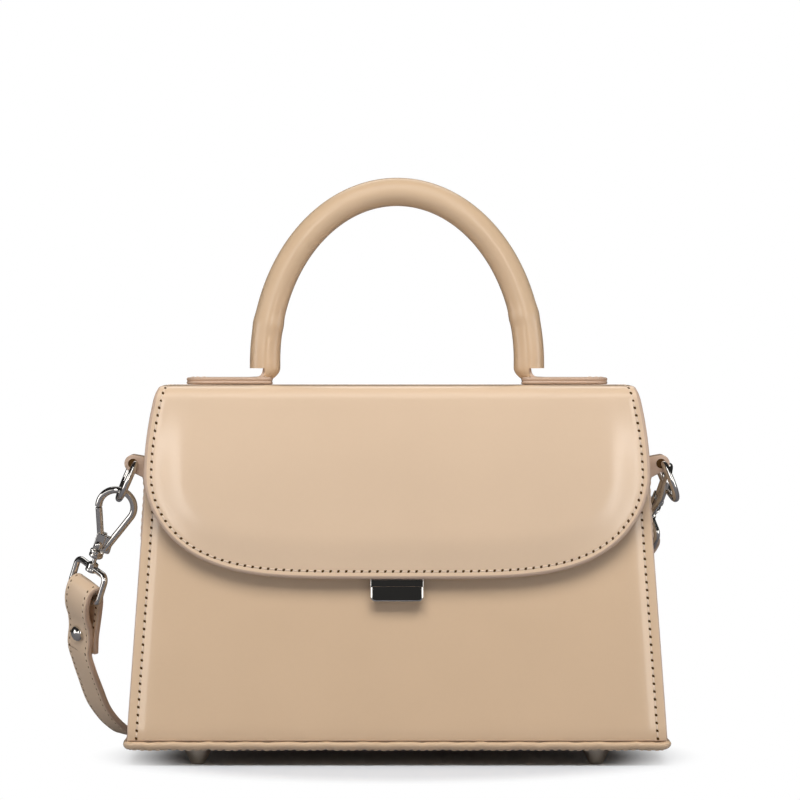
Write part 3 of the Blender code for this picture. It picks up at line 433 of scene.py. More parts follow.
def lathe(profile, sides):
    """Points and faces of a turned shape about Z; the profile starts and ends on the axis."""
    points = [(0, 0, profile[0][1])]
    for radius, height in profile[1:-1]:
        for i in range(sides):
            angle = math.tau * i / sides
            points.append((radius * math.cos(angle), radius * math.sin(angle), height))
    points.append((0, 0, profile[-1][1]))
    rings = len(profile) - 2
    faces = [(0, 1 + (i + 1) % sides, 1 + i) for i in range(sides)]
    faces += [tuple(1 + k for k in face) for face in grid_faces(rings, sides, True)]
    last = 1 + (rings - 1) * sides
    top = len(points) - 1
    faces += [(top, last + i, last + (i + 1) % sides) for i in range(sides)]
    return points, faces


def smooth_step(value):
    value = min(max(value, 0.0), 1.0)
    return value * value * (3 - 2 * value)


def way_at(line, i):
    """Direction of a line of points at one of its points."""
    return (line[min(i + 1, len(line) - 1)] - line[max(i - 1, 0)]).normalized()


def square_to(way, vector):
    """The vector turned to stand square to a direction, one unit long."""
    return (vector - way * vector.dot(way)).normalized()

# %% [markdown]
# A stitch is two things: the needle hole, and the thread that rises out of one hole and dives
# into the next. An awl pricks the holes at a slant, which gives hand sewn seams their look. A
# hole cut into the leather would need a very fine mesh, so each is a small oval lying on the
# surface, coloured with painted shade for the dark inside the hole. One function lays holes
# and thread along any line, so that every seam on the bag has the same hand.

# %% Stitches
STITCH_PITCH = 3.1 * MM
HOLE_LENGTH = 0.84 * MM
HOLE_WIDTH = 0.64 * MM
HOLE_HEIGHT = 0.10 * MM
HOLE_SLANT = math.radians(38.0)
HOLE_RINGS = ((1.0, -0.4), (0.8, 0.7))
HOLE_SIDES = 8
THREAD_RADIUS = 0.27 * MM
THREAD_RISE = 0.13 * MM
THREAD_RINGS = ((0.13, -0.8, 0.6), (0.28, 0.5, 1), (0.5, 1, 1), (0.72, 0.5, 1),
                (0.87, -0.8, 0.6))
THREAD_SIDES = 6


def spaced(points, normals, pitch):
    """Places at an even pitch along a line: point, direction and surface normal of each."""
    points = np.array(points, float)
    normals = np.array(normals, float)
    steps = np.linalg.norm(np.diff(points, axis=0), axis=1)
    along = np.concatenate([[0], np.cumsum(steps)])
    count = max(int(round(along[-1] / pitch)), 1)
    at = np.linspace(0, along[-1], count + 1)
    places = np.stack([np.interp(at, along, points[:, k]) for k in range(3)], 1)
    ups = np.stack([np.interp(at, along, normals[:, k]) for k in range(3)], 1)
    ways = np.gradient(places, axis=0)
    result = []
    for place, way, up in zip(places, ways, ups):
        way = Vector(way).normalized()
        result.append((Vector(place), way, square_to(way, Vector(up))))
    return result


def sew(piece, points, normals, thread_kind, size=1.0):
    """Lays thread and needle holes along a line; the holes' finish follows the thread's."""
    places = spaced(points, normals, STITCH_PITCH)
    for place, way, up in places:
        side = up.cross(way)
        long_way = way * math.cos(HOLE_SLANT) + side * math.sin(HOLE_SLANT)
        short_way = up.cross(long_way)
        hole = []
        for share, height in HOLE_RINGS:
            hole += oval(place + up * HOLE_HEIGHT * height, long_way, short_way,
                         HOLE_LENGTH * size * share, HOLE_WIDTH * size * share, HOLE_SIDES)
        piece.add(hole, grid_faces(len(HOLE_RINGS), HOLE_SIDES, True)
                  + end_faces(HOLE_SIDES, len(hole)), thread_kind + 1)
    for (one, way, up), (two, _, _) in zip(places, places[1:]):
        side = up.cross(way)
        loop = []
        for share, lift, swell in THREAD_RINGS:
            middle = one.lerp(two, share) + up * THREAD_RISE * lift * size
            radius = THREAD_RADIUS * size * swell
            loop += oval(middle, side, up, radius, radius, THREAD_SIDES)
        piece.add(loop, grid_faces(len(THREAD_RINGS), THREAD_SIDES, True)
                  + end_faces(THREAD_SIDES, len(loop)), thread_kind)

# %% [markdown]
# The shoulder strap is one long band of two leathers glued back to back. It loops round a
# small ring at each end, is held there by a rivet, falls from the left hook, lies in two
# folds on the floor behind the bag and climbs to the right hook. A cloth simulation could
# drop it there, but would have to be steered to keep it out of the bag. A smooth curve through
# a few places gives its middle line at once, and a width direction at each place tells how
# the band twists. An end is given by the middle of its ring's bar, then the directions of the
# strap's width, of its fall and of its outer face.

# %% The strap's route
STRAP_WIDTH = 15.0 * MM
STRAP_THICKNESS = 2.6 * MM
STRAP_GAP = 0.3 * MM
STRAP_TAIL = 27.5 * MM
RIVET_DROP = 20.0 * MM
STRAP_BULGE = 4.2 * MM
RING_WIRE = 1.3 * MM
ROUTE_STEPS = 6


def millimetres(places):
    return [Vector(place) * MM for place in places]


LEFT_END = (Vector((-0.12733, 0.01077, 0.06668)), Vector((0.6286, -0.6710, -0.3933)),
            Vector((-0.0651, 0.4585, -0.8863)), Vector((-0.7750, -0.5827, -0.2445)))
RIGHT_END = (Vector((0.10317, 0.04286, 0.09051)), Vector((-0.2979, 0.4992, 0.8136)),
             Vector((-0.1755, 0.8091, -0.5608)), Vector((0.9383, 0.3099, 0.1534)))
LEFT_FALL = millimetres([
    (-129.0, 25.6, 35), (-126.8, 31.7, 27), (-124, 38.8, 17.8), (-120.4, 45.2, 11.4),
    (-116.6, 51, 6.9), (-112.6, 55.6, 4.2)])
TWIST = millimetres([
    (-105.5, 61.8, 4), (-97, 67.2, 5.9), (-86, 71, 7.3), (-72, 72.8, 8)])
ON_FLOOR = millimetres([
    (-54, 72.4, 7.8), (-28, 71.4, 7.8), (0, 72.4, 7.8), (30, 71.6, 7.8),
    (60, 72.2, 7.8), (80, 73.6, 7.8), (91, 80, 7.8), (92.5, 89, 7.8),
    (84, 96.2, 7.8), (62, 98, 7.8), (30, 97, 7.8), (0, 98.2, 7.8), (-30, 97.2, 7.8),
    (-62, 97.8, 7.8), (-80, 99.6, 7.8), (-90.5, 106, 7.8), (-91.5, 115, 7.8),
    (-82, 122, 7.8), (-60, 124, 7.8), (-30, 123.2, 7.8), (0, 124.2, 7.8),
    (26, 123.6, 7.8), (50, 124, 7.8)])
RIGHT_RISE = millimetres([
    (66, 123.2, 9.8), (78, 120.6, 15), (87, 115.2, 23.6), (93, 107, 33.8),
    (96.4, 97.2, 44.6), (98.2, 87, 55.8), (99, 76.5, 66.6)])


def smooth_curve(points, steps):
    """Even, rounded curve through the points, with the given steps between each pair."""
    result = []
    count = len(points)
    for i in range(count - 1):
        p1, p2 = points[i], points[i + 1]
        p0 = points[i - 1] if i > 0 else p1 * 2 - p2
        p3 = points[i + 2] if i + 2 < count else p2 * 2 - p1
        t1 = max(math.sqrt((p1 - p0).length), 1e-6)
        t2 = t1 + max(math.sqrt((p2 - p1).length), 1e-6)
        t3 = t2 + max(math.sqrt((p3 - p2).length), 1e-6)
        for k in range(steps):
            t = t1 + (t2 - t1) * k / steps
            a1 = p0 * ((t1 - t) / t1) + p1 * (t / t1)
            a2 = p1 * ((t2 - t) / (t2 - t1)) + p2 * ((t - t1) / (t2 - t1))
            a3 = p2 * ((t3 - t) / (t3 - t2)) + p3 * ((t - t2) / (t3 - t2))
            b1 = a1 * ((t2 - t) / t2) + a2 * (t / t2)
            b2 = a2 * ((t3 - t) / (t3 - t1)) + a3 * ((t - t1) / (t3 - t1))
            result.append(b1 * ((t2 - t) / (t2 - t1)) + b2 * ((t - t1) / (t2 - t1)))
    result.append(points[-1].copy())
    return result


def end_shape(end):
    """Middle line of one end, from the tail's tip over the ring's bar to below the rivet."""
    bar, _, down, outer = end
    layer = (STRAP_THICKNESS + STRAP_GAP) / 2
    over = RING_WIRE + STRAP_GAP + STRAP_THICKNESS / 2
    shape = [(-layer, STRAP_TAIL), (-layer, RIVET_DROP), (-layer * 1.4, RIVET_DROP * 0.72),
             (-STRAP_BULGE * 0.62, RIVET_DROP * 0.44), (-STRAP_BULGE * 0.7, RIVET_DROP * 0.16),
             (-over * 0.72, -over * 0.72), (0, -over), (over * 0.72, -over * 0.72),
             (STRAP_BULGE * 0.92, RIVET_DROP * 0.16), (STRAP_BULGE * 0.86, RIVET_DROP * 0.44),
             (layer * 1.4, RIVET_DROP * 0.72), (layer, RIVET_DROP),
             (layer * 1.2, STRAP_TAIL + STRAP_GAP)]
    return [bar + outer * a + down * b for a, b in shape]


def strap_route():
    """Middle line and width directions from tail to tail, and the places an end takes."""
    left, right = end_shape(LEFT_END), end_shape(RIGHT_END)
    flat, on_edge = Vector((0.66, -0.75, 0)), Vector((0, 0, -1))
    start, end = LEFT_END[1], -RIGHT_END[1]
    points, widths = list(left), [start] * len(left)
    for places, one, two in ((LEFT_FALL, start, flat), (TWIST, flat, on_edge),
                             (ON_FLOOR, on_edge, on_edge), (RIGHT_RISE, on_edge, end)):
        for i, place in enumerate(places):
            share = (i + 1) / (len(places) + 1)
            points.append(place)
            widths.append(one.slerp(two, share) if one != two else one.copy())
    points += reversed(right)
    widths += [end] * len(right)
    line = smooth_curve(points, ROUTE_STEPS)
    across = []
    for i in range(len(line)):
        low = min(i // ROUTE_STEPS, len(widths) - 1)
        high = min(low + 1, len(widths) - 1)
        width = widths[low].lerp(widths[high], i / ROUTE_STEPS - low)
        across.append(square_to(way_at(line, i), width))
    return line, across, len(left) - 1


def run_length(line):
    return sum((b - a).length for a, b in zip(line, line[1:]))


ROUTE, ACROSS, END_PLACES = strap_route()
print("strap from tail to tail", round(run_length(ROUTE), 4), "m")

# %% [markdown]
# The band's section is nearly flat on both faces, dips where a seam runs along each border
# and is rounded and painted at its edges. One long stiff piece can't follow a swinging ring,
# and a chain of many short ones would show joints. So it is cut into a few stretches: an end
# that rides on its ring, a link, a fall, a lead that brings it down to the floor, and the lay
# that rests there.

# %% The strap
LINK = 16.0 * MM
FALLS = {"left": 30.0 * MM, "right": 16.0 * MM}
SETTLES = {"left": 58.0 * MM, "right": 56.0 * MM}
LEAD = 150.0 * MM
STRAP_STITCH_INSET = 1.9 * MM
STRAP_SEAMS = ((1, 1.15 * MM), (-1, 1.27 * MM))
BAND_SECTION = [(-7.02, 1.16), (-6.5, 1.28), (-5.9, 1.22), (-5.6, 1.14), (-5.3, 1.22),
                (-4.4, 1.32), (-2.0, 1.37), (0, 1.39), (2.0, 1.37), (4.4, 1.32),
                (5.3, 1.22), (5.6, 1.14), (5.9, 1.22), (6.5, 1.28), (7.02, 1.16),
                (7.34, 0.85), (7.5, 0.35), (7.44, 0), (7.5, -0.35), (7.34, -0.85),
                (7.02, -1.16), (6.5, -1.28), (2.0, -1.3), (-2.0, -1.3), (-6.5, -1.28),
                (-7.02, -1.16), (-7.34, -0.85), (-7.5, -0.35), (-7.44, 0),
                (-7.5, 0.35), (-7.34, 0.85)]
BAND_PAINTED = (*range(14, 20), *range(25, 31))


def band(name, line, across, body):
    """One stretch of the strap as a closed band."""
    piece = Piece(name, strap_calf_tone_and_light, edge_paint, thread, needle_hole_shade)
    frames = []
    for i, (point, width) in enumerate(zip(line, across)):
        way = way_at(line, i)
        width = square_to(way, width)
        frames.append((point, width, way.cross(width)))
    count = len(BAND_SECTION)
    points = [point + width * (a * MM) + outer * (b * MM)
              for point, width, outer in frames for a, b in BAND_SECTION]
    faces = grid_faces(len(frames), count, True) + end_faces(count, len(points))
    kinds = [int(c in BAND_PAINTED) for c in range(count)] * (len(frames) - 1)
    piece.add(points, faces, kinds + [1, 1])
    inset = STRAP_WIDTH / 2 - STRAP_STITCH_INSET
    for border in (-1, 1):
        for face, height in STRAP_SEAMS:
            row = [point + width * (border * inset) + outer * (face * height)
                   for point, width, outer in frames]
            sew(piece, row, [outer * face for _, _, outer in frames], 2, size=0.8)
    return stand_in(piece, body, "strap", slot="leather")


def index_after(start, distance, step):
    """Index on the route that lies this far along from another, going up or down it."""
    gone, i = 0.0, start
    while gone < distance:
        gone += (ROUTE[i + step] - ROUTE[i]).length
        i += step
    return i


def build_strap():
    last = len(ROUTE) - 1
    cuts = {}
    for side, start, step in (("left", END_PLACES * ROUTE_STEPS, 1),
                              ("right", last - END_PLACES * ROUTE_STEPS, -1)):
        one = index_after(start, LINK, step)
        two = index_after(one, FALLS[side], step)
        rest = index_after(two, SETTLES[side], step)
        three = index_after(two, LEAD, step)
        cuts[side] = (start, one, two, rest, three)

    def stretch(name, i, j, body=None):
        low, high = min(i, j), max(i, j)
        return band(name, ROUTE[low:high + 1], ACROSS[low:high + 1], body)

    for side, tip in (("left", 0), ("right", last)):
        start, one, two, rest, three = cuts[side]
        end = stretch("strap_end_" + side, tip, start, "strap_end_" + side)
        link = stretch("strap_link_" + side, start, one)
        "strap_end_" + side
        "hook_" + side
        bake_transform(link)
        fall = stretch("strap_fall_" + side, one, two)
        "hook_" + side
        "ring_" + side
        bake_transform(fall)
        lead = stretch("strap_lead_" + side, two, three)
        settled = ROUTE[rest].copy()
        settled.z = (ROUTE[two].z + ROUTE[rest].z) / 2
        "ring_" + side
        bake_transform(lead)
        path = ROUTE[min(two, three):max(two, three) + 1]
        if side == "right":
            path = list(reversed(path))
        run_length(path)
    low, high = cuts["left"][-1], cuts["right"][-1]
    lay = stretch("strap_lay", low, high, "bag")
    path = ROUTE[low:high + 1]
    run_length(path)
    print("strap stretches", {side: [round(ROUTE[i].x, 3) for i in cut]
                              for side, cut in cuts.items()})


build_strap()

# %% [markdown]
# The rings and hooks are bent or cast from round wire, then polished. A stock curve with a
# round section would do, but its ends can't be tapered or closed as freely. Here a wire is a
# circle carried along a line; the line is rounded first, so no bend shows a kink. A small
# block or collar is a turned or boxed shape with a soft edge that catches the light.

# %% Wire and blocks
WIRE_SIDES = 24
BOX_STEPS = 4
BOX_ROUND = 0.7
FITTING_SHARP_DEGREES = 35.0
CORNERS = ((1, 1, 0), (-1, 1, 90), (-1, -1, 180), (1, -1, 270))


def wire(points, radii, closed=False):
    """Points and faces of a round wire along a line, with flat ends where it isn't closed."""
    count = len(points)
    if not isinstance(radii, list):
        radii = [radii] * count
    side = None
    rings = []
    for i, (point, radius) in enumerate(zip(points, radii)):
        way = way_at(points, i)
        if closed:
            way = (points[(i + 1) % count] - points[i - 1]).normalized()
        side = square_to(way, side or way.orthogonal())
        rings += oval(point, side, way.cross(side), radius, radius, WIRE_SIDES)
    faces = grid_faces(count, WIRE_SIDES, True)
    if closed:
        last = len(rings) - WIRE_SIDES
        shift = min(range(WIRE_SIDES), key=lambda k: (rings[last] - rings[k]).length)
        return rings, faces + closing_faces(WIRE_SIDES, last, shift)
    return rings, faces + end_faces(WIRE_SIDES, len(rings))


def arc(centre_a, centre_b, radius, start, stop, steps):
    """Places on an arc between two angles in degrees."""
    angles = [math.radians(start + (stop - start) * i / steps) for i in range(steps + 1)]
    return [(centre_a + radius * math.cos(a), centre_b + radius * math.sin(a)) for a in angles]


def rounded_corners(centre, half, radius, steps):
    """The four rounded corners of a rectangle, each a list of places."""
    return [arc(centre[0] + sx * (half[0] - radius), centre[1] + sy * (half[1] - radius),
                radius, start, start + 90, steps) for sx, sy, start in CORNERS]


def rounded_box(low, high, radius):
    """Points and faces of a box with rounded edges, flat in its third direction."""
    centre = ((low[0] + high[0]) / 2, (low[1] + high[1]) / 2)
    half = ((high[0] - low[0]) / 2, (high[1] - low[1]) / 2)
    outline = sum(rounded_corners(centre, half, radius, BOX_STEPS), [])
    edge = min(radius, (high[2] - low[2]) / 2) * BOX_ROUND
    turns = [math.pi / 2 * k / BOX_STEPS for k in range(BOX_STEPS + 1)]
    levels = [(edge * (1 - math.sin(turn)), edge * (1 - math.cos(turn))) for turn in turns]
    rows = [(low[2] + rise, inset) for rise, inset in reversed(levels)]
    rows += [(high[2] - rise, inset) for rise, inset in levels]
    points = [(centre[0] + (a - centre[0]) * (1 - inset / half[0]),
               centre[1] + (b - centre[1]) * (1 - inset / half[1]), z)
              for z, inset in rows for a, b in outline]
    return points, (grid_faces(len(rows), len(outline), True)
                    + end_faces(len(outline), len(points)))


def placed(matrix, shape):
    points, faces = shape
    return [matrix @ Vector(p) for p in points], faces


def fitting(name, node, body, *shapes, finish=nickel):
    piece = Piece(name, finish)
    for shape in shapes:
        piece.add(*shape)
    stand_in(piece, body, node, sharp_degrees=FITTING_SHARP_DEGREES)

# %% [markdown]
# Each ring is a D: a straight bar inside the leather loop, two arms and a half-round bow. It
# is bent from one wire on a former and closed by welding. A flat cut-out would have square
# edges, so the ring is a wire along its own outline, hung from the bar's middle and tilted
# the way gravity and the strap pull it.

# %% Rings
SIDES = (("left", -1), ("right", 1))
RING_BAR_HEIGHT = 118.8 * MM
RING_BAR_X = 106.77 * MM
RING_TILT = math.radians(22.9)
RING_YAW = 0.13
D_WIRE = 1.36 * MM
D_HALF = 9.0 * MM
D_ARM = 6.8 * MM
D_CORNER = 2.2 * MM
D_OUTLINE = (arc(0, D_ARM, D_HALF, 0, 180, 40)
             + arc(D_CORNER - D_HALF, D_CORNER, D_CORNER, 180, 270, 8)
             + arc(D_HALF - D_CORNER, D_CORNER, D_CORNER, 270, 360, 8)[:-1])

for name, side in SIDES:
    down = Vector((math.sin(RING_TILT) * side, 0, -math.cos(RING_TILT)))
    bar = Vector((side * RING_BAR_X, 0, RING_BAR_HEIGHT))
    points = [bar + Vector((-a * RING_YAW, a, 0)) + down * b for a, b in D_OUTLINE]
    fitting("nickel_ring_" + name, "d_ring_" + name, "ring_" + name,
            wire(points, D_WIRE, closed=True))

# %% [markdown]
# A snap hook is a cast frame bent like a pear, with a spring gate pinned in a small block, a
# collar of two rolled lines below it, and a swivel that carries the strap's ring. A casting
# has no seams, but its moving parts are separate, and so are they here. All are drawn once in
# the hook's own plane, u across, v up and n out of it, so that one matrix hangs them all.

# %% Snap hooks
HOOK_WIRE = 1.46 * MM
HOOK_ARC = 7.2 * MM
HOOK_ARC_DROP = 4.0 * MM
HOOK_FOOT = (0.6 * MM, -22.8 * MM)
HOOK_NOSE = 195
GATE_HEEL = Vector((-2.9, -17.15, 0)) * MM
GATE_RADII = [1.1 * MM, 1.35 * MM, 1.4 * MM, 1.4 * MM, 1.4 * MM, 1.4 * MM]
AXIS_U = -2.1 * MM
PIVOT = Vector((-2.2, -21.4, 0)) * MM
STRAP_BAR_V = -44.1 * MM
STRAP_RING_HALF = 9.6 * MM
STRAP_RING_DROP = 12.2 * MM
STRAP_RING_CORNER = 2.6 * MM
TURNED_SIDES = 32
STAND = Matrix.Rotation(-math.pi / 2, 4, "X")


def frame_matrix(origin, u, v):
    u, v = Vector(u).normalized(), Vector(v).normalized()
    n = u.cross(v)
    return Matrix(((u.x, v.x, n.x, origin[0]), (u.y, v.y, n.y, origin[1]),
                   (u.z, v.z, n.z, origin[2]), (0, 0, 0, 1)))


LEFT_HOOK = frame_matrix((-0.1128, -0.0001, 0.10461), (0.95106, 0, -0.30902),
                         (0.29849, -0.25882, 0.91865))
RIGHT_HOOK = frame_matrix((0.10995, 0.0076, 0.1124), (-0.21147, -0.58581, -0.78238),
                          (0.17206, -0.81029, 0.5602))


def mm_profile(*pairs):
    return [(r * MM, v * MM) for r, v in pairs]


COLLAR = mm_profile((0, -24.0), (2.2, -24.0), (2.85, -24.3), (2.95, -24.7), (2.85, -25.2),
                    (2.35, -25.55), (2.85, -25.9), (2.95, -26.3), (2.85, -26.9), (2.3, -27.4),
                    (0, -27.4))
GATE_RIVET = mm_profile((0, -3.3), (0.8, -3.2), (1.4, -2.8), (1.65, -2.25), (1.6, -2.12),
                        (0.6, -2.1), (0.6, 2.1), (1.6, 2.12), (1.65, 2.25), (1.4, 2.8),
                        (0.8, 3.2), (0, 3.3))
SWIVEL_PIN = mm_profile((0, -33.8), (2.0, -33.8), (2.5, -33.55), (2.6, -33.1), (2.6, -32.5),
                        (2.45, -32.25), (0.9, -32.2), (0.9, -24.8), (0, -24.8))
RING_BOSS = mm_profile((0, 10.1), (1.7, 10.1), (2.2, 10.5), (2.3, 12.2), (2.2, 13.9),
                       (1.7, 14.3), (0, 14.3))


def mm_box(low, high, radius):
    return rounded_box([a * MM for a in low], [a * MM for a in high], radius * MM)


BLOCK = mm_box((-4.3, -24.4, -1.0), (2.9, -17.0, 1.0), 0.9)
GATE_BLOCKS = (mm_box((-4.0, -18.0, -1.3), (-1.3, -16.4, 1.3), 0.4),
               mm_box((-4.2, -23.1, -2.1), (-0.3, -16.4, -1.05), 0.5),
               mm_box((-4.2, -23.1, 1.05), (-0.3, -16.4, 2.1), 0.5))


def turned(matrix, u, profile):
    """A turned shape about an upright axis of the hook's plane; the profile gives r and v."""
    return placed(matrix @ Matrix.Translation((u, 0, 0)) @ STAND, lathe(profile, TURNED_SIDES))


def hook_lines():
    """Middle lines of the hook's frame and of its gate, in the hook's plane."""
    bow = arc(0, -HOOK_ARC_DROP, HOOK_ARC, -15, HOOK_NOSE, 40)
    bow_line = smooth_curve([Vector((a, b, 0)) for a, b in [HOOK_FOOT] + bow], 2)
    nose = Vector((*bow[-1], 0))
    way = (GATE_HEEL - nose).normalized()
    gate_line = [nose + way * (0.45 * MM), nose + way * (0.7 * MM), nose + way * MM,
                 nose.lerp(GATE_HEEL, 0.5), GATE_HEEL, GATE_HEEL + way * MM]
    return bow_line, gate_line


def build_hook(name, matrix, ring_turn):
    bow_line, gate_line = hook_lines()
    fitting("nickel_hook_" + name, "hook_frame_" + name, "hook_" + name,
            wire([matrix @ p for p in bow_line], HOOK_WIRE), placed(matrix, BLOCK),
            turned(matrix, AXIS_U, COLLAR))
    fitting("nickel_gate_" + name, "hook_gate_" + name, "gate_" + name,
            wire([matrix @ p for p in gate_line], GATE_RADII),
            *(placed(matrix, shape) for shape in GATE_BLOCKS))
    fitting("nickel_gate_rivet_" + name, "gate_rivet_" + name, "hook_" + name,
            placed(matrix @ Matrix.Translation(PIVOT), lathe(GATE_RIVET, 24)))
    fitting("nickel_swivel_" + name, "swivel_pin_" + name, "hook_" + name,
            turned(matrix, AXIS_U, SWIVEL_PIN))
    ring = matrix @ Matrix.Translation((AXIS_U, STRAP_BAR_V, 0)) @ Matrix.Rotation(
        math.radians(-ring_turn), 4, "Y")
    outline = sum(rounded_corners((0, STRAP_RING_DROP / 2),
                                  (STRAP_RING_HALF, STRAP_RING_DROP / 2),
                                  STRAP_RING_CORNER, 10), [])
    fitting("nickel_strap_ring_" + name, "strap_ring_" + name, "strap_end_" + name,
            wire([ring @ Vector((a, b, 0)) for a, b in outline], RING_WIRE, closed=True),
            turned(ring, 0, RING_BOSS))


build_hook("left", LEFT_HOOK, 44.0)
build_hook("right", RIGHT_HOOK, -30.0)

# %% [markdown]
# Four feet keep the leather off the table. Each is a turned cone with a rounded lower edge
# and a stem through the base to its nut. A plain cone would end in a hard line, where the real
# foot catches a soft light. Turned work needs only half an outline: the radius at each height,
# spun round the axis.

# %% Feet
FOOT_X = 79.3 * MM
FOOT_Y = 31.4 * MM
FOOT_PROFILE = mm_profile((0, 0), (2.0, 0), (2.5, 0.12), (2.85, 0.45), (2.98, 0.8),
                          (5.6, 5.9), (5.7, 6.15), (1.5, 6.2), (1.5, 12.2), (0, 12.2))

for side_y, row in ((-1, "front_"), (1, "back_")):
    for name, side_x in SIDES:
        spot = Matrix.Translation((side_x * FOOT_X, side_y * FOOT_Y, 0))
        fitting("brass_foot_" + row + name, "foot_" + row + name, "bag",
                placed(spot, lathe(FOOT_PROFILE, 48)), finish=satin_brass)

# %% [markdown]
# A rivet holds each strap end together, a domed cap pressed on a stem through both leathers.
# A half ball would stand too proud and has no rim, so the dome is turned from a low profile
# with a small flat edge, and set square on the strap's outer face.

# %% Strap rivets
CAP_SEAT = 1.3 * MM
CAP_PROFILE = mm_profile((0, -5.6), (2.4, -5.6), (2.9, -5.3), (2.9, -5.0), (0.8, -4.9),
                         (0.8, -0.1), (3.25, -0.1), (3.4, 0.2), (3.35, 0.7), (3.0, 1.45),
                         (2.4, 2.1), (1.6, 2.55), (0.8, 2.75), (0, 2.8))

for name, (bar, width, down, outer) in (("left", LEFT_END), ("right", RIGHT_END)):
    seat = bar + down * RIVET_DROP + outer * ((STRAP_THICKNESS + STRAP_GAP) / 2 + CAP_SEAT)
    fitting("nickel_strap_rivet_" + name, "strap_rivet_" + name, "strap_end_" + name,
            placed(frame_matrix(seat, width, outer.cross(width)), lathe(CAP_PROFILE, 40)))

# %% [markdown]
# The body is a box that narrows upwards, so two straight lines give its half width and half
# depth at any height. All the leather pieces are set out from these. Cut leather is never a
# bare plane: its edge is sanded and painted round. So every sheet on the bag is made by one
# function, from a grid of points on its outer face, a thickness and a rounded rim.

# %% Sheets of leather
CLEARANCE = 0.3 * MM
LEATHER = 1.6 * MM
BODY_BOTTOM = 10.2 * MM
BACK_HEIGHT = 134.8 * MM
FRONT_HEIGHT = 127.0 * MM
BASE_HALF_WIDTH = 107.2 * MM
TOP_HALF_WIDTH = 98.1 * MM
BASE_HALF_DEPTH = 43.0 * MM
TOP_HALF_DEPTH = 31.0 * MM
FRONT_TOP = BODY_BOTTOM + FRONT_HEIGHT
BACK_TOP = BODY_BOTTOM + BACK_HEIGHT
WIDTH_SLOPE = (BASE_HALF_WIDTH - TOP_HALF_WIDTH) / BACK_HEIGHT
DEPTH_SLOPE = (BASE_HALF_DEPTH - TOP_HALF_DEPTH) / BACK_HEIGHT
RIM_STEPS = 5
RIM_FULLNESS = 0.7
RIGHT = Vector((1, 0, 0))
BACK = Vector((0, 1, 0))


def half_width(z):
    return BASE_HALF_WIDTH - WIDTH_SLOPE * (z - BODY_BOTTOM)


def half_depth(z):
    return BASE_HALF_DEPTH - DEPTH_SLOPE * (z - BODY_BOTTOM)


def wall_ways(side_x, side_y):
    """Directions out of a leaning wall and up along it; one side is -1 or 1, the other 0."""
    slope = WIDTH_SLOPE if side_x else DEPTH_SLOPE
    return (Vector((side_x, side_y, slope)).normalized(),
            Vector((-side_x * slope, -side_y * slope, 1)).normalized())


def clustered(count):
    """Shares from -1 to 1, closer together at both ends."""
    return [math.sin(math.pi / 2 * (2 * i / count - 1)) for i in range(count + 1)]


def all_over(outer, value):
    """The same value for every point of a sheet."""
    return [[value] * len(row) for row in outer]


def border_ways(outer, low, right, high, left):
    """The way out of a sheet at each border point: first row, right side, last row, left."""
    rows, columns = len(outer), len(outer[0])
    return [low] * columns + [right] * (rows - 2) + [high] * columns + [left] * (rows - 2)


def rounded_shell(piece, outer, normals, thickness, edge, outward, inside=2):
    """A sheet with a rounded rim: rows of outer points, and the thickness at each.

    outward gives the way out of the sheet at each border point. The outer face gets the
    piece's first finish, the rim its second and the back its third or the one given."""
    rows, columns = len(outer), len(outer[0])
    border = ([(0, c) for c in range(columns)] + [(r, columns - 1) for r in range(1, rows)]
              + [(rows - 1, c) for c in range(columns - 2, -1, -1)]
              + [(r, 0) for r in range(rows - 2, 0, -1)])
    behind = rows * columns
    points = [p for row in outer for p in row]
    points += [outer[r][c] - normals[r][c] * thickness[r][c]
               for r in range(rows) for c in range(columns)]
    faces = grid_faces(rows, columns)
    kinds = [0] * len(faces) + [inside] * len(faces)
    faces += [tuple(behind + i for i in reversed(face)) for face in faces]
    rings = [[r * columns + c for r, c in border]]
    for k in range(1, RIM_STEPS):
        angle = math.pi * k / RIM_STEPS
        rings.append(range(len(points), len(points) + len(border)))
        for (r, c), way in zip(border, outward):
            half = thickness[r][c] / 2
            points.append(outer[r][c] - normals[r][c] * half
                          + normals[r][c] * half * math.cos(angle)
                          + way * edge * math.sin(angle) ** RIM_FULLNESS)
    rings.append([behind + i for i in rings[0]])
    for one, two in zip(rings, rings[1:]):
        for k in range(len(border)):
            m = (k + 1) % len(border)
            faces.append((one[k], one[m], two[m], two[k]))
            kinds.append(1)
    piece.add(points, faces, kinds)


print("body", round(2 * BASE_HALF_WIDTH / MM, 1), "mm wide at the base and",
      round(2 * half_width(BACK_TOP) / MM, 1), "at the top")

# %% [markdown]
# The front panel looks flat but isn't quite: the seams at its sides pull the leather back a
# little, and light catches that change of slope. A flat board with a painted seam would look
# like card. So the panel is a grid of points, set back near the side seams, with a rounded
# cut edge all round and a row of stitches inside each side.

# %% Front and back panels
PANEL_COLUMNS = 60
PANEL_ROWS = 24
EDGE_ROUND = 0.55 * MM
SEAM_INSET = 3.9 * MM
SEAM_PINCH = 0.40 * MM
PINCH_WIDTH = 9.0 * MM
SEAM_GROOVE = 0.14 * MM
GROOVE_WIDTH = 0.8 * MM
SEAM_FOOT = 0.9 * MM
SEAM_HEAD = 3.0 * MM
SEAM_STEPS = 60


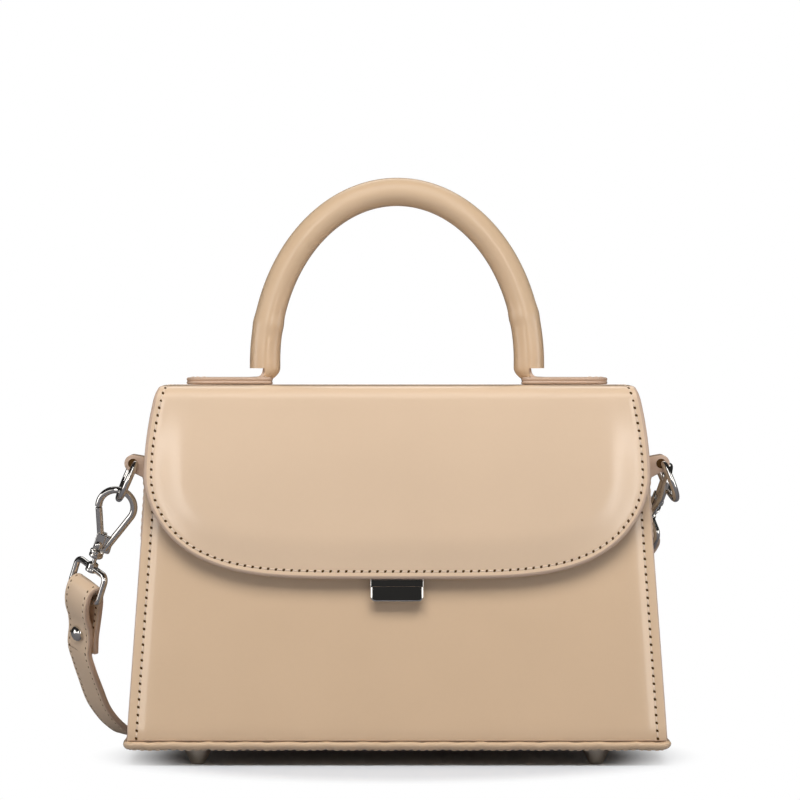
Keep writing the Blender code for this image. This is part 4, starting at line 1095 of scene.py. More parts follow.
def panel(name, side, top):
    piece = Piece("leather_" + name, calf, edge_paint, suede, thread, needle_hole_shade)
    out, up = wall_ways(0, side)

    def surface(x, z):
        from_edge = half_width(z) - abs(x)
        pinch = SEAM_PINCH * (1 - smooth_step(from_edge / PINCH_WIDTH))
        groove = SEAM_GROOVE * math.exp(-((from_edge - SEAM_INSET) / GROOVE_WIDTH) ** 2)
        return Vector((x, side * half_depth(z), z)) - out * (pinch + groove)

    heights = np.linspace(BODY_BOTTOM + EDGE_ROUND / 2, top - EDGE_ROUND, PANEL_ROWS + 1)
    outer = [[surface(share * (half_width(z) - EDGE_ROUND), z)
              for share in clustered(PANEL_COLUMNS)] for z in heights]
    outward = border_ways(outer, -up, RIGHT, up, -RIGHT)
    outward[0] = -(RIGHT + up).normalized()
    outward[PANEL_COLUMNS] = (RIGHT - up).normalized()
    outward[PANEL_COLUMNS + PANEL_ROWS] = (RIGHT + up).normalized()
    rounded_shell(piece, outer, all_over(outer, out), all_over(outer, LEATHER), EDGE_ROUND,
                  outward)
    for border in (-1, 1):
        line = [surface(border * (half_width(z) - SEAM_INSET), z)
                for z in np.linspace(BODY_BOTTOM + SEAM_FOOT, top - SEAM_HEAD, SEAM_STEPS)]
        sew(piece, line, [out] * len(line), 3)
    stand_in(piece, "bag", name, slot="leather")


panel("front_panel", -1, FRONT_TOP)
panel("back_panel", 1, BACK_TOP)

# %% [markdown]
# The flap is one sheet of leather that starts at the back seam, runs over the crown, rolls
# down the front and ends in a soft curve. Bending a flat sheet over a form, as the maker
# does, would need a simulation. Its line from back to front is simple, though: a shallow bow,
# an arc and a straight drop. So a length along that line and a place across it give any point.

# %% The flap's line
FLAP_STACK = 3.6 * MM
DROP_STACK = 2.3 * MM
CROWN_RISE = 1.8 * MM
ROLL_RADIUS = 6.5 * MM
CROWN_PEAK_Y = -17.2 * MM
FRONT_GAP = 5.5 * MM
MAGNET_GAP = 3.6 * MM
FLAP_BOTTOM = 74.2 * MM
FLAP_SHOULDER = 114.0 * MM
CROWN_HALF_WIDTH = 94.5 * MM
DROP_HALF_WIDTH = 100.6 * MM
OUTLINE_POWER = 4.5
CORNER_POWER = 1.8
FLARE_POWER = 1.9

HINGE_Y = half_depth(BACK_TOP) + CLEARANCE
HINGE_Z = BACK_TOP + CLEARANCE
CROWN_TOP = HINGE_Z + FLAP_STACK + CROWN_RISE
ROLL_Y = -(half_depth(FRONT_TOP) + FRONT_GAP - ROLL_RADIUS)
ROLL_Z = CROWN_TOP - ROLL_RADIUS
CROWN_LENGTH = HINGE_Y - ROLL_Y


def roll_turn():
    """Angle at which the roll ends, so that the drop meets the place of the clasp."""
    reach_y = -(half_depth(FLAP_BOTTOM) + MAGNET_GAP + DROP_STACK) - ROLL_Y
    reach_z = FLAP_BOTTOM - ROLL_Z
    towards = math.atan2(reach_z, reach_y) % math.tau
    return towards - math.acos(ROLL_RADIUS / math.hypot(reach_y, reach_z))


DROP_ANGLE = roll_turn()
ROLL_LENGTH = ROLL_RADIUS * (DROP_ANGLE - math.pi / 2)
DROP_OUT = Vector((0, math.cos(DROP_ANGLE), math.sin(DROP_ANGLE)))
DROP_DOWN = Vector((0, -math.sin(DROP_ANGLE), math.cos(DROP_ANGLE)))
DROP_START = Vector((0, ROLL_Y + ROLL_RADIUS * math.cos(DROP_ANGLE),
                     ROLL_Z + ROLL_RADIUS * math.sin(DROP_ANGLE)))


def crown_height(y):
    share = max(y - CROWN_PEAK_Y, 0) / (HINGE_Y - CROWN_PEAK_Y)
    return CROWN_TOP - CROWN_RISE * share ** 2


def flap_line(length):
    """Point, outward direction and onward direction; length 0 is where the roll starts."""
    if length <= 0:
        y = ROLL_Y - length
        slope = -2 * CROWN_RISE * max(y - CROWN_PEAK_Y, 0) / (HINGE_Y - CROWN_PEAK_Y) ** 2
        return (Vector((0, y, crown_height(y))), Vector((0, -slope, 1)).normalized(),
                Vector((0, -1, -slope)).normalized())
    if length <= ROLL_LENGTH:
        angle = math.pi / 2 + length / ROLL_RADIUS
        out = Vector((0, math.cos(angle), math.sin(angle)))
        return (Vector((0, ROLL_Y, ROLL_Z)) + out * ROLL_RADIUS, out,
                Vector((0, -math.sin(angle), math.cos(angle))))
    return DROP_START + DROP_DOWN * (length - ROLL_LENGTH), DROP_OUT, DROP_DOWN


def length_at(z):
    """Length along the flap's line at which the drop is at this height."""
    return ROLL_LENGTH + (DROP_START.z - z) / -DROP_DOWN.z


SHOULDER_LENGTH = length_at(FLAP_SHOULDER)


def flap_reach(length):
    """Half the flap's width: it flares from the crown to the shoulder."""
    share = min(max(length / SHOULDER_LENGTH, 0), 1)
    return CROWN_HALF_WIDTH + (DROP_HALF_WIDTH - CROWN_HALF_WIDTH) * (
        1 - (1 - share) ** FLARE_POWER)


def low_length(share):
    """Length at which the flap ends, for a share of its half width."""
    bow = max(1 - abs(share) ** OUTLINE_POWER, 0.0) ** (1 / CORNER_POWER)
    return length_at(FLAP_SHOULDER - (FLAP_SHOULDER - FLAP_BOTTOM) * bow)


print("flap runs", round((CROWN_LENGTH + low_length(0)) / MM, 1), "mm from hinge to edge")

# %% [markdown]
# The flap is padded, so inside its stitched border the leather stands slightly proud. That
# swell is what bends the studio's strips into the two soft upright highlights. A bump in the
# finish could fake it, but not where the flap is seen edge on. So the points themselves move
# out: the distance of each from the outline sets the swell, the stitch groove and the seam.

# %% The flap
FLAP_COLUMNS = 110
CROWN_ROWS = 8
ROLL_ROWS = 14
DROP_ROWS = 44
BORDER_SIDE_STEPS = 60
BORDER_LOW_STEPS = 160
FLAP_EDGE = 1.25 * MM
FLAP_BACK_EDGE = 0.05
FLAP_STITCH_INSET = 3.1 * MM
FLAP_SEAM_START = 2.0 * MM
FLAP_GROOVE = 0.16 * MM
PILLOW_HEIGHT = 1.3 * MM
PILLOW_START = 3.2 * MM
PILLOW_END = 17.0 * MM
PILLOW_RISE = 40.0 * MM
PILLOW_POWER = 0.8


def flap_outline(inset=0.0):
    """Border from the crown's left back corner round the front to the right back corner."""
    left = [(-flap_reach(length), length)
            for length in np.linspace(-CROWN_LENGTH, SHOULDER_LENGTH, BORDER_SIDE_STEPS)]
    low = [(share * DROP_HALF_WIDTH, low_length(share))
           for share in clustered(BORDER_LOW_STEPS)[1:-1]]
    right = [(-x, length) for x, length in reversed(left)]
    line = np.array(left + low + right)
    ways = np.gradient(line, axis=0)
    ways /= np.linalg.norm(ways, axis=1)[:, None]
    return line + np.stack([ways[:, 1], -ways[:, 0]], 1) * inset


FLAP_BORDER = flap_outline()


def border_distance(x, length):
    """Shortest way from a place on the flap to its outline."""
    one, two = FLAP_BORDER[:-1], FLAP_BORDER[1:]
    run = two - one
    along = (x - one[:, 0]) * run[:, 0] + (length - one[:, 1]) * run[:, 1]
    share = np.clip(along / np.maximum((run ** 2).sum(1), 1e-12), 0, 1)
    near = one + run * share[:, None]
    return float(np.sqrt(((near - (x, length)) ** 2).sum(1)).min())


def flap_surface(x, length):
    """Place on the padded flap, its outward direction and how proud it stands there."""
    place, out, _ = flap_line(length)
    far = border_distance(x, length)
    swell = PILLOW_HEIGHT * smooth_step(length / PILLOW_RISE) * smooth_step(
        (far - PILLOW_START) / (PILLOW_END - PILLOW_START)) ** PILLOW_POWER
    groove = FLAP_GROOVE * math.exp(-((far - FLAP_STITCH_INSET) / GROOVE_WIDTH) ** 2)
    rise = swell - groove
    return Vector((x, place.y, place.z)) + out * rise, out, rise


def build_flap():
    piece = Piece("leather_flap", flap_sheen_calf, edge_paint, suede, thread, needle_hole_shade)
    shares = clustered(FLAP_COLUMNS)
    columns = len(shares)
    lengths = [[-CROWN_LENGTH + CROWN_LENGTH * i / CROWN_ROWS] * columns
               for i in range(CROWN_ROWS)]
    lengths += [[ROLL_LENGTH * i / ROLL_ROWS] * columns for i in range(ROLL_ROWS)]
    for i in range(DROP_ROWS + 1):
        part = math.sin(math.pi / 2 * i / DROP_ROWS)
        lengths.append([ROLL_LENGTH + (low_length(share) - FLAP_EDGE - ROLL_LENGTH) * part
                        for share in shares])
    outer, normals, thickness = [], [], []
    for row in lengths:
        spots = [flap_surface(share * (flap_reach(length) - FLAP_EDGE), length)
                 for share, length in zip(shares, row)]
        crowns = [1 - smooth_step(length / ROLL_LENGTH) for length in row]
        outer.append([place for place, _, _ in spots])
        normals.append([out for _, out, _ in spots])
        thickness.append([DROP_STACK + (FLAP_STACK - DROP_STACK) * crown + rise
                          for (_, _, rise), crown in zip(spots, crowns)])
    low_ways = []
    for c in range(columns):
        way = way_at(outer[-1], c).cross(DROP_OUT).normalized()
        low_ways.append(-way if way.z > 0 else way)
    back = -flap_line(-CROWN_LENGTH)[2] * FLAP_BACK_EDGE
    sides = len(outer) - 2
    outward = [back] * columns + [RIGHT] * sides + low_ways[::-1] + [-RIGHT] * sides
    rounded_shell(piece, outer, normals, thickness, FLAP_EDGE, outward)
    seam = [flap_surface(x, length) for x, length in flap_outline(FLAP_STITCH_INSET)
            if length > -CROWN_LENGTH + FLAP_SEAM_START]
    sew(piece, [place for place, _, _ in seam], [out for _, out, _ in seam], 3)
    stand_in(piece, "flap", "flap_outer", "flap_lining", slot="leather")


build_flap()

# %% [markdown]
# The gussets close the sides. Between the stiff panels they are softer, so each sinks a
# little towards its middle, most of all near the open top. A sharp fold would suit a soft
# bag. On one with boards in it a shallow even hollow is enough to catch the light.

# %% Gussets
GUSSET_COLUMNS = 28
GUSSET_TOP = BODY_BOTTOM + 129.8 * MM
GUSSET_SAG = 0.9 * MM
SAG_START = 30.0 * MM
SAG_RUN = 90.0 * MM
SAG_THINNING = 0.8


def gusset(name, side):
    piece = Piece("leather_gusset_" + name, calf, edge_paint, suede)
    out, up = wall_ways(side, 0)
    shares = clustered(GUSSET_COLUMNS)
    outer, thickness = [], []
    for z in np.linspace(BODY_BOTTOM + EDGE_ROUND, GUSSET_TOP - EDGE_ROUND, PANEL_ROWS + 1):
        reach = half_depth(z) - LEATHER - CLEARANCE
        deepest = GUSSET_SAG * smooth_step((z - SAG_START) / SAG_RUN)
        sags = [deepest * (1 - share ** 2) ** 2 for share in shares]
        outer.append([Vector((side * half_width(z), share * reach, z)) - out * sag
                      for share, sag in zip(shares, sags)])
        thickness.append([LEATHER - sag * SAG_THINNING for sag in sags])
    rounded_shell(piece, outer, all_over(outer, out), thickness, EDGE_ROUND / 2,
                  border_ways(outer, -up, BACK, up, -BACK))
    stand_in(piece, "bag", "gusset_" + name, slot="leather")


for name, side in SIDES:
    gusset(name, side)

# %% [markdown]
# A welt is a narrow band of leather sewn round the base, folded over so its edge is round. A
# plain tube would look like piping on a cushion. Sewing makes the band wander slightly, and
# at the corners the fold is pinched and turns up, so both are worked into its points.

# %% Base welt
WELT_LOW = 6.5 * MM
WELT_HEIGHT = 3.4 * MM
WELT_OVERHANG = 1.4 * MM
WELT_CORNER = 4.0 * MM
WELT_STEP = 2.0 * MM
WELT_WANDER = 0.13 * MM
WELT_LIFT = 0.55 * MM
WELT_PINCH = 0.12
WELT_TURN = 7.0 * MM
WELT_TURN_RUN = 9.0 * MM
WELT_SEAM_INSET = 2.4 * MM
WELT_SEAM_LIFT = 0.1 * MM


def rounded_loop(half_x, half_y, radius, steps, gap):
    """Points round a rounded rectangle, with extra points along its straight sides."""
    corners = rounded_corners((0, 0), (half_x, half_y), radius, steps)
    loop = []
    for here, there in zip(corners, corners[1:] + corners[:1]):
        loop += here
        (ax, ay), (bx, by) = here[-1], there[0]
        count = max(int(math.hypot(bx - ax, by - ay) / gap), 1)
        loop += [(ax + (bx - ax) * i / count, ay + (by - ay) * i / count)
                 for i in range(1, count)]
    return loop


def away_from(x, y, core_x, core_y):
    """Direction from the nearest place of a core rectangle to a place outside it."""
    return Vector((x - math.copysign(min(abs(x), core_x), x),
                   y - math.copysign(min(abs(y), core_y), y), 0)).normalized()


def build_welt():
    piece = Piece("leather_welt", calf, edge_paint, thread, needle_hole_shade)
    half = WELT_HEIGHT / 2
    outer_x, outer_y = BASE_HALF_WIDTH + WELT_OVERHANG, BASE_HALF_DEPTH + WELT_OVERHANG
    outline = rounded_loop(outer_x, outer_y, WELT_CORNER, 10, WELT_STEP)
    section = [(math.cos(a), math.sin(a)) for a in np.linspace(-math.pi / 2, math.pi / 2, 13)]
    section += [(-1.0, 1.0), (-2.2, 1.0), (-2.2, -1.0), (-1.0, -1.0)]
    points, below = [], []
    for x, y in outline:
        wander = WELT_WANDER * (math.sin(x * 410 + y * 130) + 0.7 * math.sin(x * 930 - y * 610)
                                + 0.5 * math.sin(x * 1900 + 2.0 + y * 1500))
        near_corner = smooth_step(math.hypot(max(abs(x) - outer_x + WELT_TURN, 0),
                                             max(abs(y) - outer_y + WELT_TURN, 0))
                                  / WELT_TURN_RUN)
        away = away_from(x, y, outer_x - WELT_CORNER, outer_y - WELT_CORNER)
        middle = Vector((x, y, WELT_LOW + half)) - away * half
        for a, b in section:
            height = (b * half * (1 - WELT_PINCH * near_corner) + wander
                      + WELT_LIFT * near_corner * max(a, 0))
            points.append(middle + away * (a * half + wander * 0.5) + Vector((0, 0, height)))
        below.append(Vector((x, y, WELT_LOW + WELT_SEAM_LIFT + wander))
                     - away * WELT_SEAM_INSET)
    count = len(section)
    piece.add(points, grid_faces(len(outline), count, True)
              + closing_faces(count, len(points) - count))
    ring = below + below[:1]
    sew(piece, ring, [Vector((0, 0, -1))] * len(ring), 2)
    stand_in(piece, "bag", "base_welt", slot="leather")


build_welt()

# %% [markdown]
# Inside hangs a cotton lining, glued to the boards at its rim and loose below. Five flat
# faces would look like card, and a simulated cloth would need pinning all round. So the
# lining is one closed form of rings: up the outside, over a turned hem and down the inside,
# where it stands off the wall by small shallow waves.

# %% Lining
CLOTH = 0.6 * MM
HEM_DEPTH = 8.0 * MM
HEM_INSET = 1.1 * MM
LINING_WAVE = 1.1 * MM
LINING_CORNER = 4.0 * MM
HEM_ROUND = 0.4 * MM
HEM_SEAM = 1.6 * MM
FLOOR_RISE = 0.9 * MM


def lining_wave(x, y, z, top):
    ripple = 0.5 + 0.25 * math.sin(x * 95 + z * 40) + 0.25 * math.sin(y * 120 - z * 75 + x * 31)
    return LINING_WAVE * ripple * smooth_step((top - HEM_DEPTH - z) / (14 * MM))


def build_lining():
    piece = Piece("cotton_lining", cotton, thread, needle_hole_shade)
    (_, _, low), (_, high_y, top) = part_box("lining")
    wall = half_depth(low) - high_y
    base_x, base_y = half_width(low) - LEATHER - CLEARANCE, high_y
    plan = rounded_loop(base_x, base_y, LINING_CORNER, 5, 5.0 * MM)

    def ring(z, inset, waves=False):
        wide = (half_width(z) - LEATHER - CLEARANCE) / base_x
        deep = (half_depth(z) - wall) / base_y
        result = []
        for x, y in plan:
            x, y = x * wide, y * deep
            away = away_from(x, y, base_x * wide - LINING_CORNER,
                             base_y * deep - LINING_CORNER)
            far = inset + (lining_wave(x, y, z, top) if waves else 0)
            result.append(Vector((x, y, z)) - away * far)
        return result

    rows = [ring(z, 0) for z in np.linspace(low, top - HEM_ROUND, 8)]
    rows += [ring(top, HEM_INSET / 2)]
    rows += [ring(z, HEM_INSET) for z in (top - HEM_ROUND, top - HEM_DEPTH / 2,
                                          top - HEM_DEPTH)]
    rows += [ring(z, CLOTH, True) for z in np.linspace(top - HEM_DEPTH - 0.5 * MM,
                                                       low + 2 * MM, 22)]
    floor = ring(low + CLOTH, 2 * MM)
    for share in (1.0, 0.94, 0.8, 0.6, 0.35, 0.1):
        rise = Vector((0, 0, FLOOR_RISE * (1 - share)))
        rows.append([Vector((p.x * share, p.y * share, p.z)) + rise for p in floor])
    points = [p for row in rows for p in row]
    piece.add(points, grid_faces(len(rows), len(plan), True)
              + end_faces(len(plan), len(points)))
    seam = ring(top - HEM_DEPTH + HEM_SEAM, HEM_INSET)
    inward = [Vector((-p.x, -p.y * base_x / base_y, 0)).normalized() for p in seam]
    sew(piece, seam + seam[:1], inward + inward[:1], 1, size=0.7)
    stand_in(piece, "bag", "lining", slot="lining_cloth")


build_lining()

# %% [markdown]
# A slip pocket is a hemmed piece of the same cotton, sewn to the lining on three sides. A flat
# copy of the wall would have its mouth lie shut. Use pulls it open, so the sheet bows out
# towards the top and leaves a small shadow there.

# %% Slip pocket
POCKET_GAPE = 1.8 * MM
POCKET_COLUMNS = 30
POCKET_ROWS = 16
POCKET_SEAM = 2.5 * MM
POCKET_HEM = 7.0 * MM
POCKET_MOUTH = 2.0 * MM


def build_pocket():
    piece = Piece("cotton_pocket", cotton, cotton, cotton, thread, needle_hole_shade)
    (low_x, _, low), (high_x, high_y, top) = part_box("inner_pocket")
    wall = half_depth(low) - high_y + LINING_WAVE
    out, up = wall_ways(0, 1)
    half = (high_x - low_x) / 2 - CLOTH

    def surface(share, z):
        gape = POCKET_GAPE * (1 - share ** 2) * smooth_step((z - low) / (top - low))
        return Vector((share * half, half_depth(z) - wall, z)) - out * (CLOTH + gape)

    outer = [[surface(share, z) for share in clustered(POCKET_COLUMNS)]
             for z in np.linspace(low + CLOTH, top - CLOTH, POCKET_ROWS + 1)]
    rounded_shell(piece, outer, all_over(outer, -out), all_over(outer, CLOTH), CLOTH / 2,
                  border_ways(outer, -up, RIGHT, up, -RIGHT))
    border = 1 - POCKET_SEAM / half
    across = np.linspace(-border, border, 40)
    heights = np.linspace(top - POCKET_MOUTH, low + POCKET_SEAM, 30)
    seam = [surface(-border, z) for z in heights]
    seam += [surface(share, low + POCKET_SEAM) for share in across]
    seam += [surface(border, z) for z in reversed(heights)]
    hem = [surface(share, top - POCKET_HEM) for share in across]
    for line in (seam, hem):
        sew(piece, line, [-out] * len(line), 3, size=0.7)
    stand_in(piece, "bag", "inner_pocket", slot="lining_cloth")


build_pocket()

# %% [markdown]
# The leather under the bag is pulled tight over its board when the welt is sewn, and bows a
# little inwards between the seams. It is hardly ever seen, so a plain sheet with a rounded
# edge and that slight bow is enough.

# %% Base leather
BASE_COLUMNS = 24
BASE_ROWS = 10
BASE_BOW = 0.5 * MM
BASE_THINNING = 0.8


def build_base():
    piece = Piece("leather_base", calf, edge_paint, suede)
    (_, _, low), (high_x, high_y, top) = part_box("base_panel")
    half_x, half_y = high_x - EDGE_ROUND, high_y - EDGE_ROUND
    outer = [[Vector((a * half_x, b * half_y, low + BASE_BOW * (1 - a * a) * (1 - b * b)))
              for a in clustered(BASE_COLUMNS)] for b in clustered(BASE_ROWS)]
    rounded_shell(piece, outer, all_over(outer, Vector((0, 0, -1))),
                  all_over(outer, (top - low) * BASE_THINNING), EDGE_ROUND,
                  border_ways(outer, -BACK, RIGHT, BACK, -RIGHT))
    stand_in(piece, "bag", "base_panel", slot="leather")


build_base()

# %% [markdown]
# At the back, a narrow band of the same leather hides the flap's hinge seam. On the real bag
# the flap is sewn on and bends there; two stiff pieces would open a gap between them. The
# band lies on the back panel, bends over the edge and ends on the crown.

# %% Spine over the hinge
SPINE_HALF_WIDTH = 94.0 * MM
SPINE_THICKNESS = 0.6 * MM
SPINE_LIFT = 0.15 * MM
SPINE_EDGE = 0.35 * MM
SPINE_COLUMNS = 24
SPINE_SEAM_ROW = 3


def spine_line():
    """The band's middle line, from low on the back panel over the edge to the crown."""
    off = SPINE_LIFT + SPINE_THICKNESS
    line = [Vector((0, half_depth(z) + off, z))
            for z in np.linspace(BACK_TOP - 13 * MM, BACK_TOP - 1.5 * MM, 7)]
    line.append(Vector((0, HINGE_Y + 1.0 * MM, HINGE_Z + 1.2 * MM)))
    line.append(Vector((0, HINGE_Y + 0.3 * MM, HINGE_Z + 3.2 * MM)))
    line += [Vector((0, y, crown_height(y) + off))
             for y in np.linspace(HINGE_Y - 2.4 * MM, HINGE_Y - 11 * MM, 5)]
    return smooth_curve(line, 3)


def build_spine():
    piece = Piece("leather_spine", calf, edge_paint, suede, thread, needle_hole_shade)
    line = spine_line()
    outer, normals = [], []
    for i, point in enumerate(line):
        out = RIGHT.cross(way_at(line, i))
        out = out if out.dot(Vector((0, 1, 1))) > 0 else -out
        outer.append([point + RIGHT * (share * SPINE_HALF_WIDTH)
                      for share in clustered(SPINE_COLUMNS)])
        normals.append([out] * (SPINE_COLUMNS + 1))
    rounded_shell(piece, outer, normals, all_over(outer, SPINE_THICKNESS), SPINE_EDGE,
                  border_ways(outer, -way_at(line, 0), RIGHT, way_at(line, len(line) - 1),
                              -RIGHT))
    sew(piece, outer[SPINE_SEAM_ROW], normals[SPINE_SEAM_ROW], 3)
    thing = piece.make()
    HINGE_Y - 4 * MM
    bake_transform(thing)


build_spine()

# %% [markdown]
# The clasp is a nickel plate on the back of the flap's lower edge, with a magnet behind it.
# What shows below the leather is a thin step and then a thick lip with a polished rim. A box
# with one bevel would catch light on all sides alike. Here one outline is drawn again and
# again, set in or out a little, so that the rim, the bevel and the sunk face each get their
# own slope.

# %% Clasp
CLASP_HALF = 10.5 * MM
CLASP_SHOW = 8.8 * MM
CLASP_STEP = 6.1 * MM
CLASP_COVER = 10.0 * MM
CLASP_TONGUE = 0.8 * MM
CLASP_LIP = 2.6 * MM
PLATE_CORNER = 0.35 * MM
PLATE_BEVEL = 0.25 * MM
CLASP_SHARP_DEGREES = 25.0


def drop_place(x, z, depth):
    """A place on the flap's drop, a given depth behind its outer face."""
    place, out, _ = flap_line(length_at(z))
    return place + RIGHT * x - out * depth


def plate(piece, low, high, front, back, corner, rim, recess):
    """A plate with rounded lower corners, a bevelled rim and a slightly sunk face."""
    half = CLASP_HALF
    outline = []
    for side, start in ((-1, 180), (1, 270)):
        outline += arc(side * (half - corner), low + corner, corner, start, start + 90, 10)
    for side, start in ((1, 0), (-1, 90)):
        outline += arc(side * (half - PLATE_CORNER), high - PLATE_CORNER, PLATE_CORNER, start,
                       start + 90, 4)
    middle = (low + high) / 2
    half_z = (high - low) / 2
    rows = [(PLATE_BEVEL, back), (0, back - PLATE_BEVEL), (0, front + rim),
            (rim * 0.3, front + rim * 0.3), (rim, front), (rim * 1.5, front),
            (rim * 1.8, front + recess)]
    points = []
    for inset, depth in rows:
        for x, z in outline:
            pull = inset if z < middle else min(inset, PLATE_CORNER) / 2
            points.append(drop_place(x * (1 - inset / half),
                                     middle + (z - middle) * (1 - pull / half_z), depth))
    piece.add(points, grid_faces(len(rows), len(outline), True)
              + end_faces(len(outline), len(points)))


def build_clasp():
    piece = Piece("nickel_clasp", nickel)
    low = FLAP_BOTTOM - CLASP_SHOW
    back = DROP_STACK + CLEARANCE + CLASP_TONGUE
    plate(piece, low, low + CLASP_STEP, back - CLASP_LIP, back, 1.8 * MM, 0.38 * MM, 0.1 * MM)
    plate(piece, low + 1.0 * MM, FLAP_BOTTOM + CLASP_COVER, DROP_STACK + CLEARANCE,
          back - 0.05 * MM, 0.6 * MM, 0.15 * MM, 0)
    plate(piece, low + 1.0 * MM, FLAP_BOTTOM - CLEARANCE, DROP_STACK + CLEARANCE - 0.8 * MM,
          back - 0.1 * MM, 0.6 * MM, 0.15 * MM, 0)
    stand_in(piece, "flap", "clasp_plate", sharp_degrees=CLASP_SHARP_DEGREES)


build_clasp()

# %% [markdown]
# The top handle is a cord rolled in leather. At each foot the roll is cut straight across,
# and there the leather is thick enough to see into. A bent cylinder would have closed ends
# and no wall. So the roll is two tubes along one arch, an outer one all the way and an inner
# one only at the mouths, with a seam crease inside the bend, a soft ridge above each foot and
# a skirt that leans outward.

# %% Handle roll
HANDLE_HALF_SPAN = 53.5 * MM
HANDLE_RISE = 69.0 * MM
HANDLE_CENTRE_Z = 159.77 * MM
HANDLE_CUT = 2.4 * MM
HANDLE_STEPS = 150
HANDLE_SIDES = 36
HANDLE_TOP_RADIUS = 5.8 * MM
HANDLE_FOOT_RADIUS = 6.25 * MM
HANDLE_WALL = 1.4 * MM
MOUTH_ROWS = 10
RIDGE_LEFT = 15.5 * MM
RIDGE_RIGHT = 18.8 * MM
RIDGE_HEIGHT = 0.24 * MM
RIDGE_WIDTH = 2.4 * MM
RIDGE_STEP = 0.15 * MM
RIDGE_RUN = 5.0 * MM
CREASE_DEPTH = 0.14 * MM
CREASE_WIDTH = 0.16
SKIRT_ROWS = 5
SKIRT_DROP = 4.5 * MM
SKIRT_LEAN = 3.1 * MM
SKIRT_INSIDE = 0.02


def roll_path():
    """The roll's middle line from its right foot over the arch to its left foot."""
    foot_z = HANDLE_CENTRE_Z - HANDLE_CUT
    turns = [math.pi * i / HANDLE_STEPS for i in range(HANDLE_STEPS + 1)]
    arch = [Vector((HANDLE_HALF_SPAN * math.cos(turn), 0,
                    HANDLE_CENTRE_Z + HANDLE_RISE * math.sin(turn))) for turn in turns]
    return [Vector((HANDLE_HALF_SPAN, 0, foot_z)), *arch, Vector((-HANDLE_HALF_SPAN, 0, foot_z))]


def roll_rings(path, i, row):
    """Outer and inner ring at a point of the path; row counts down the skirt below it."""
    point = path[i]
    out = way_at(path, i).cross(BACK)
    if out.dot(point - Vector((0, 0, HANDLE_CENTRE_Z))) < 0:
        out = -out
    arch = math.sin(math.pi * i / (len(path) - 1))
    above_ridge = point.z - HANDLE_CENTRE_Z - (RIDGE_LEFT if point.x < 0 else RIDGE_RIGHT)
    radius = (HANDLE_FOOT_RADIUS + (HANDLE_TOP_RADIUS - HANDLE_FOOT_RADIUS) * arch
              + RIDGE_HEIGHT * math.exp(-(above_ridge / RIDGE_WIDTH) ** 2)
              - RIDGE_STEP * smooth_step(above_ridge / RIDGE_RUN) * (1 - arch))
    part = row / SKIRT_ROWS
    outer, inner = [], []
    for k in range(HANDLE_SIDES):
        angle = math.tau * k / HANDLE_SIDES
        crease = CREASE_DEPTH * math.exp(-((angle - math.pi) / CREASE_WIDTH) ** 2)
        inward = smooth_step((-math.cos(angle) - 0.02) / 0.4)
        hang = part * (SKIRT_INSIDE + (1 - SKIRT_INSIDE) * inward)
        shift = Vector((0, 0, -SKIRT_DROP * hang)) + out * (SKIRT_LEAN * part * hang)
        for ring, r in ((outer, radius - crease), (inner, radius - HANDLE_WALL)):
            ring.append(point + shift + out * (r * math.cos(angle))
                        + BACK * (r * math.sin(angle)))
    return outer, inner


def build_roll():
    piece = Piece("leather_handle", handle_shaded_calf, edge_paint, suede)
    path = roll_path()
    last = len(path) - 1
    stops = [(0, row) for row in range(SKIRT_ROWS, 0, -1)]
    stops += [(i, 0) for i in range(len(path))]
    stops += [(last, row) for row in range(1, SKIRT_ROWS + 1)]
    rings = [roll_rings(path, i, row) for i, row in stops]
    points = [p for outer, _ in rings for p in outer]
    skin = grid_faces(len(rings), HANDLE_SIDES, True)
    rims, inside = [], []
    for start, step in ((0, 1), (len(rings) - 1, -1)):
        lip, first = start * HANDLE_SIDES, len(points)
        for r in range(MOUTH_ROWS + 1):
            points += rings[start + step * r][1]
        for k in range(HANDLE_SIDES):
            m = (k + 1) % HANDLE_SIDES
            rims.append((lip + k, lip + m, first + m, first + k))
        inside += [tuple(first + i for i in face)
                   for face in grid_faces(MOUTH_ROWS + 1, HANDLE_SIDES, True)]
        inside.append(tuple(range(len(points) - HANDLE_SIDES, len(points))))
    piece.add(points, skin + rims + inside,
              [0] * len(skin) + [1] * len(rims) + [2] * len(inside))
    stand_in(piece, "handle", "handle_roll", slot="leather")


build_roll()

# %% [markdown]
# Each foot of the handle ends in a flat tab of two leathers, sewn down on the crown. Its side
# shows both leathers with a fine groove between them, which a single rounded slab would
# lose. So its outline, a long half-round, is drawn again and again, each time a little
# smaller or higher.

# %% Handle tabs
TAB_INNER = 50.6 * MM
TAB_OUTER = 85.4 * MM
TAB_HALF_DEPTH = 9.0 * MM
TAB_CORNER = 3.0 * MM
TAB_SHARPEST = 0.2 * MM
TAB_STITCH_INSET = 2.0 * MM
TAB_SEAM_HEIGHT = 2.78 * MM
TAB_SECTION = ((0.5, 0.0), (0.15, 0.12), (0.0, 0.45), (0.04, 0.9), (0.22, 1.22), (0.3, 1.32),
               (0.2, 1.42), (0.02, 1.75), (0.0, 2.2), (0.15, 2.52), (0.5, 2.72), (1.2, 2.8),
               (1.8, 2.76), (2.2, 2.76), (2.9, 2.84), (4.4, 2.9), (6.4, 2.92), (8.4, 2.92))
TAB_PAINTED_ROWS = 11


def tab_outline(inset, steps=18):
    radius = TAB_HALF_DEPTH - inset
    corner = max(TAB_CORNER - inset, TAB_SHARPEST)
    x = TAB_INNER + inset + corner
    return (arc(TAB_OUTER - TAB_HALF_DEPTH, 0, radius, -90, 90, steps)
            + arc(x, radius - corner, corner, 90, 180, 6)
            + arc(x, corner - radius, corner, 180, 270, 6))


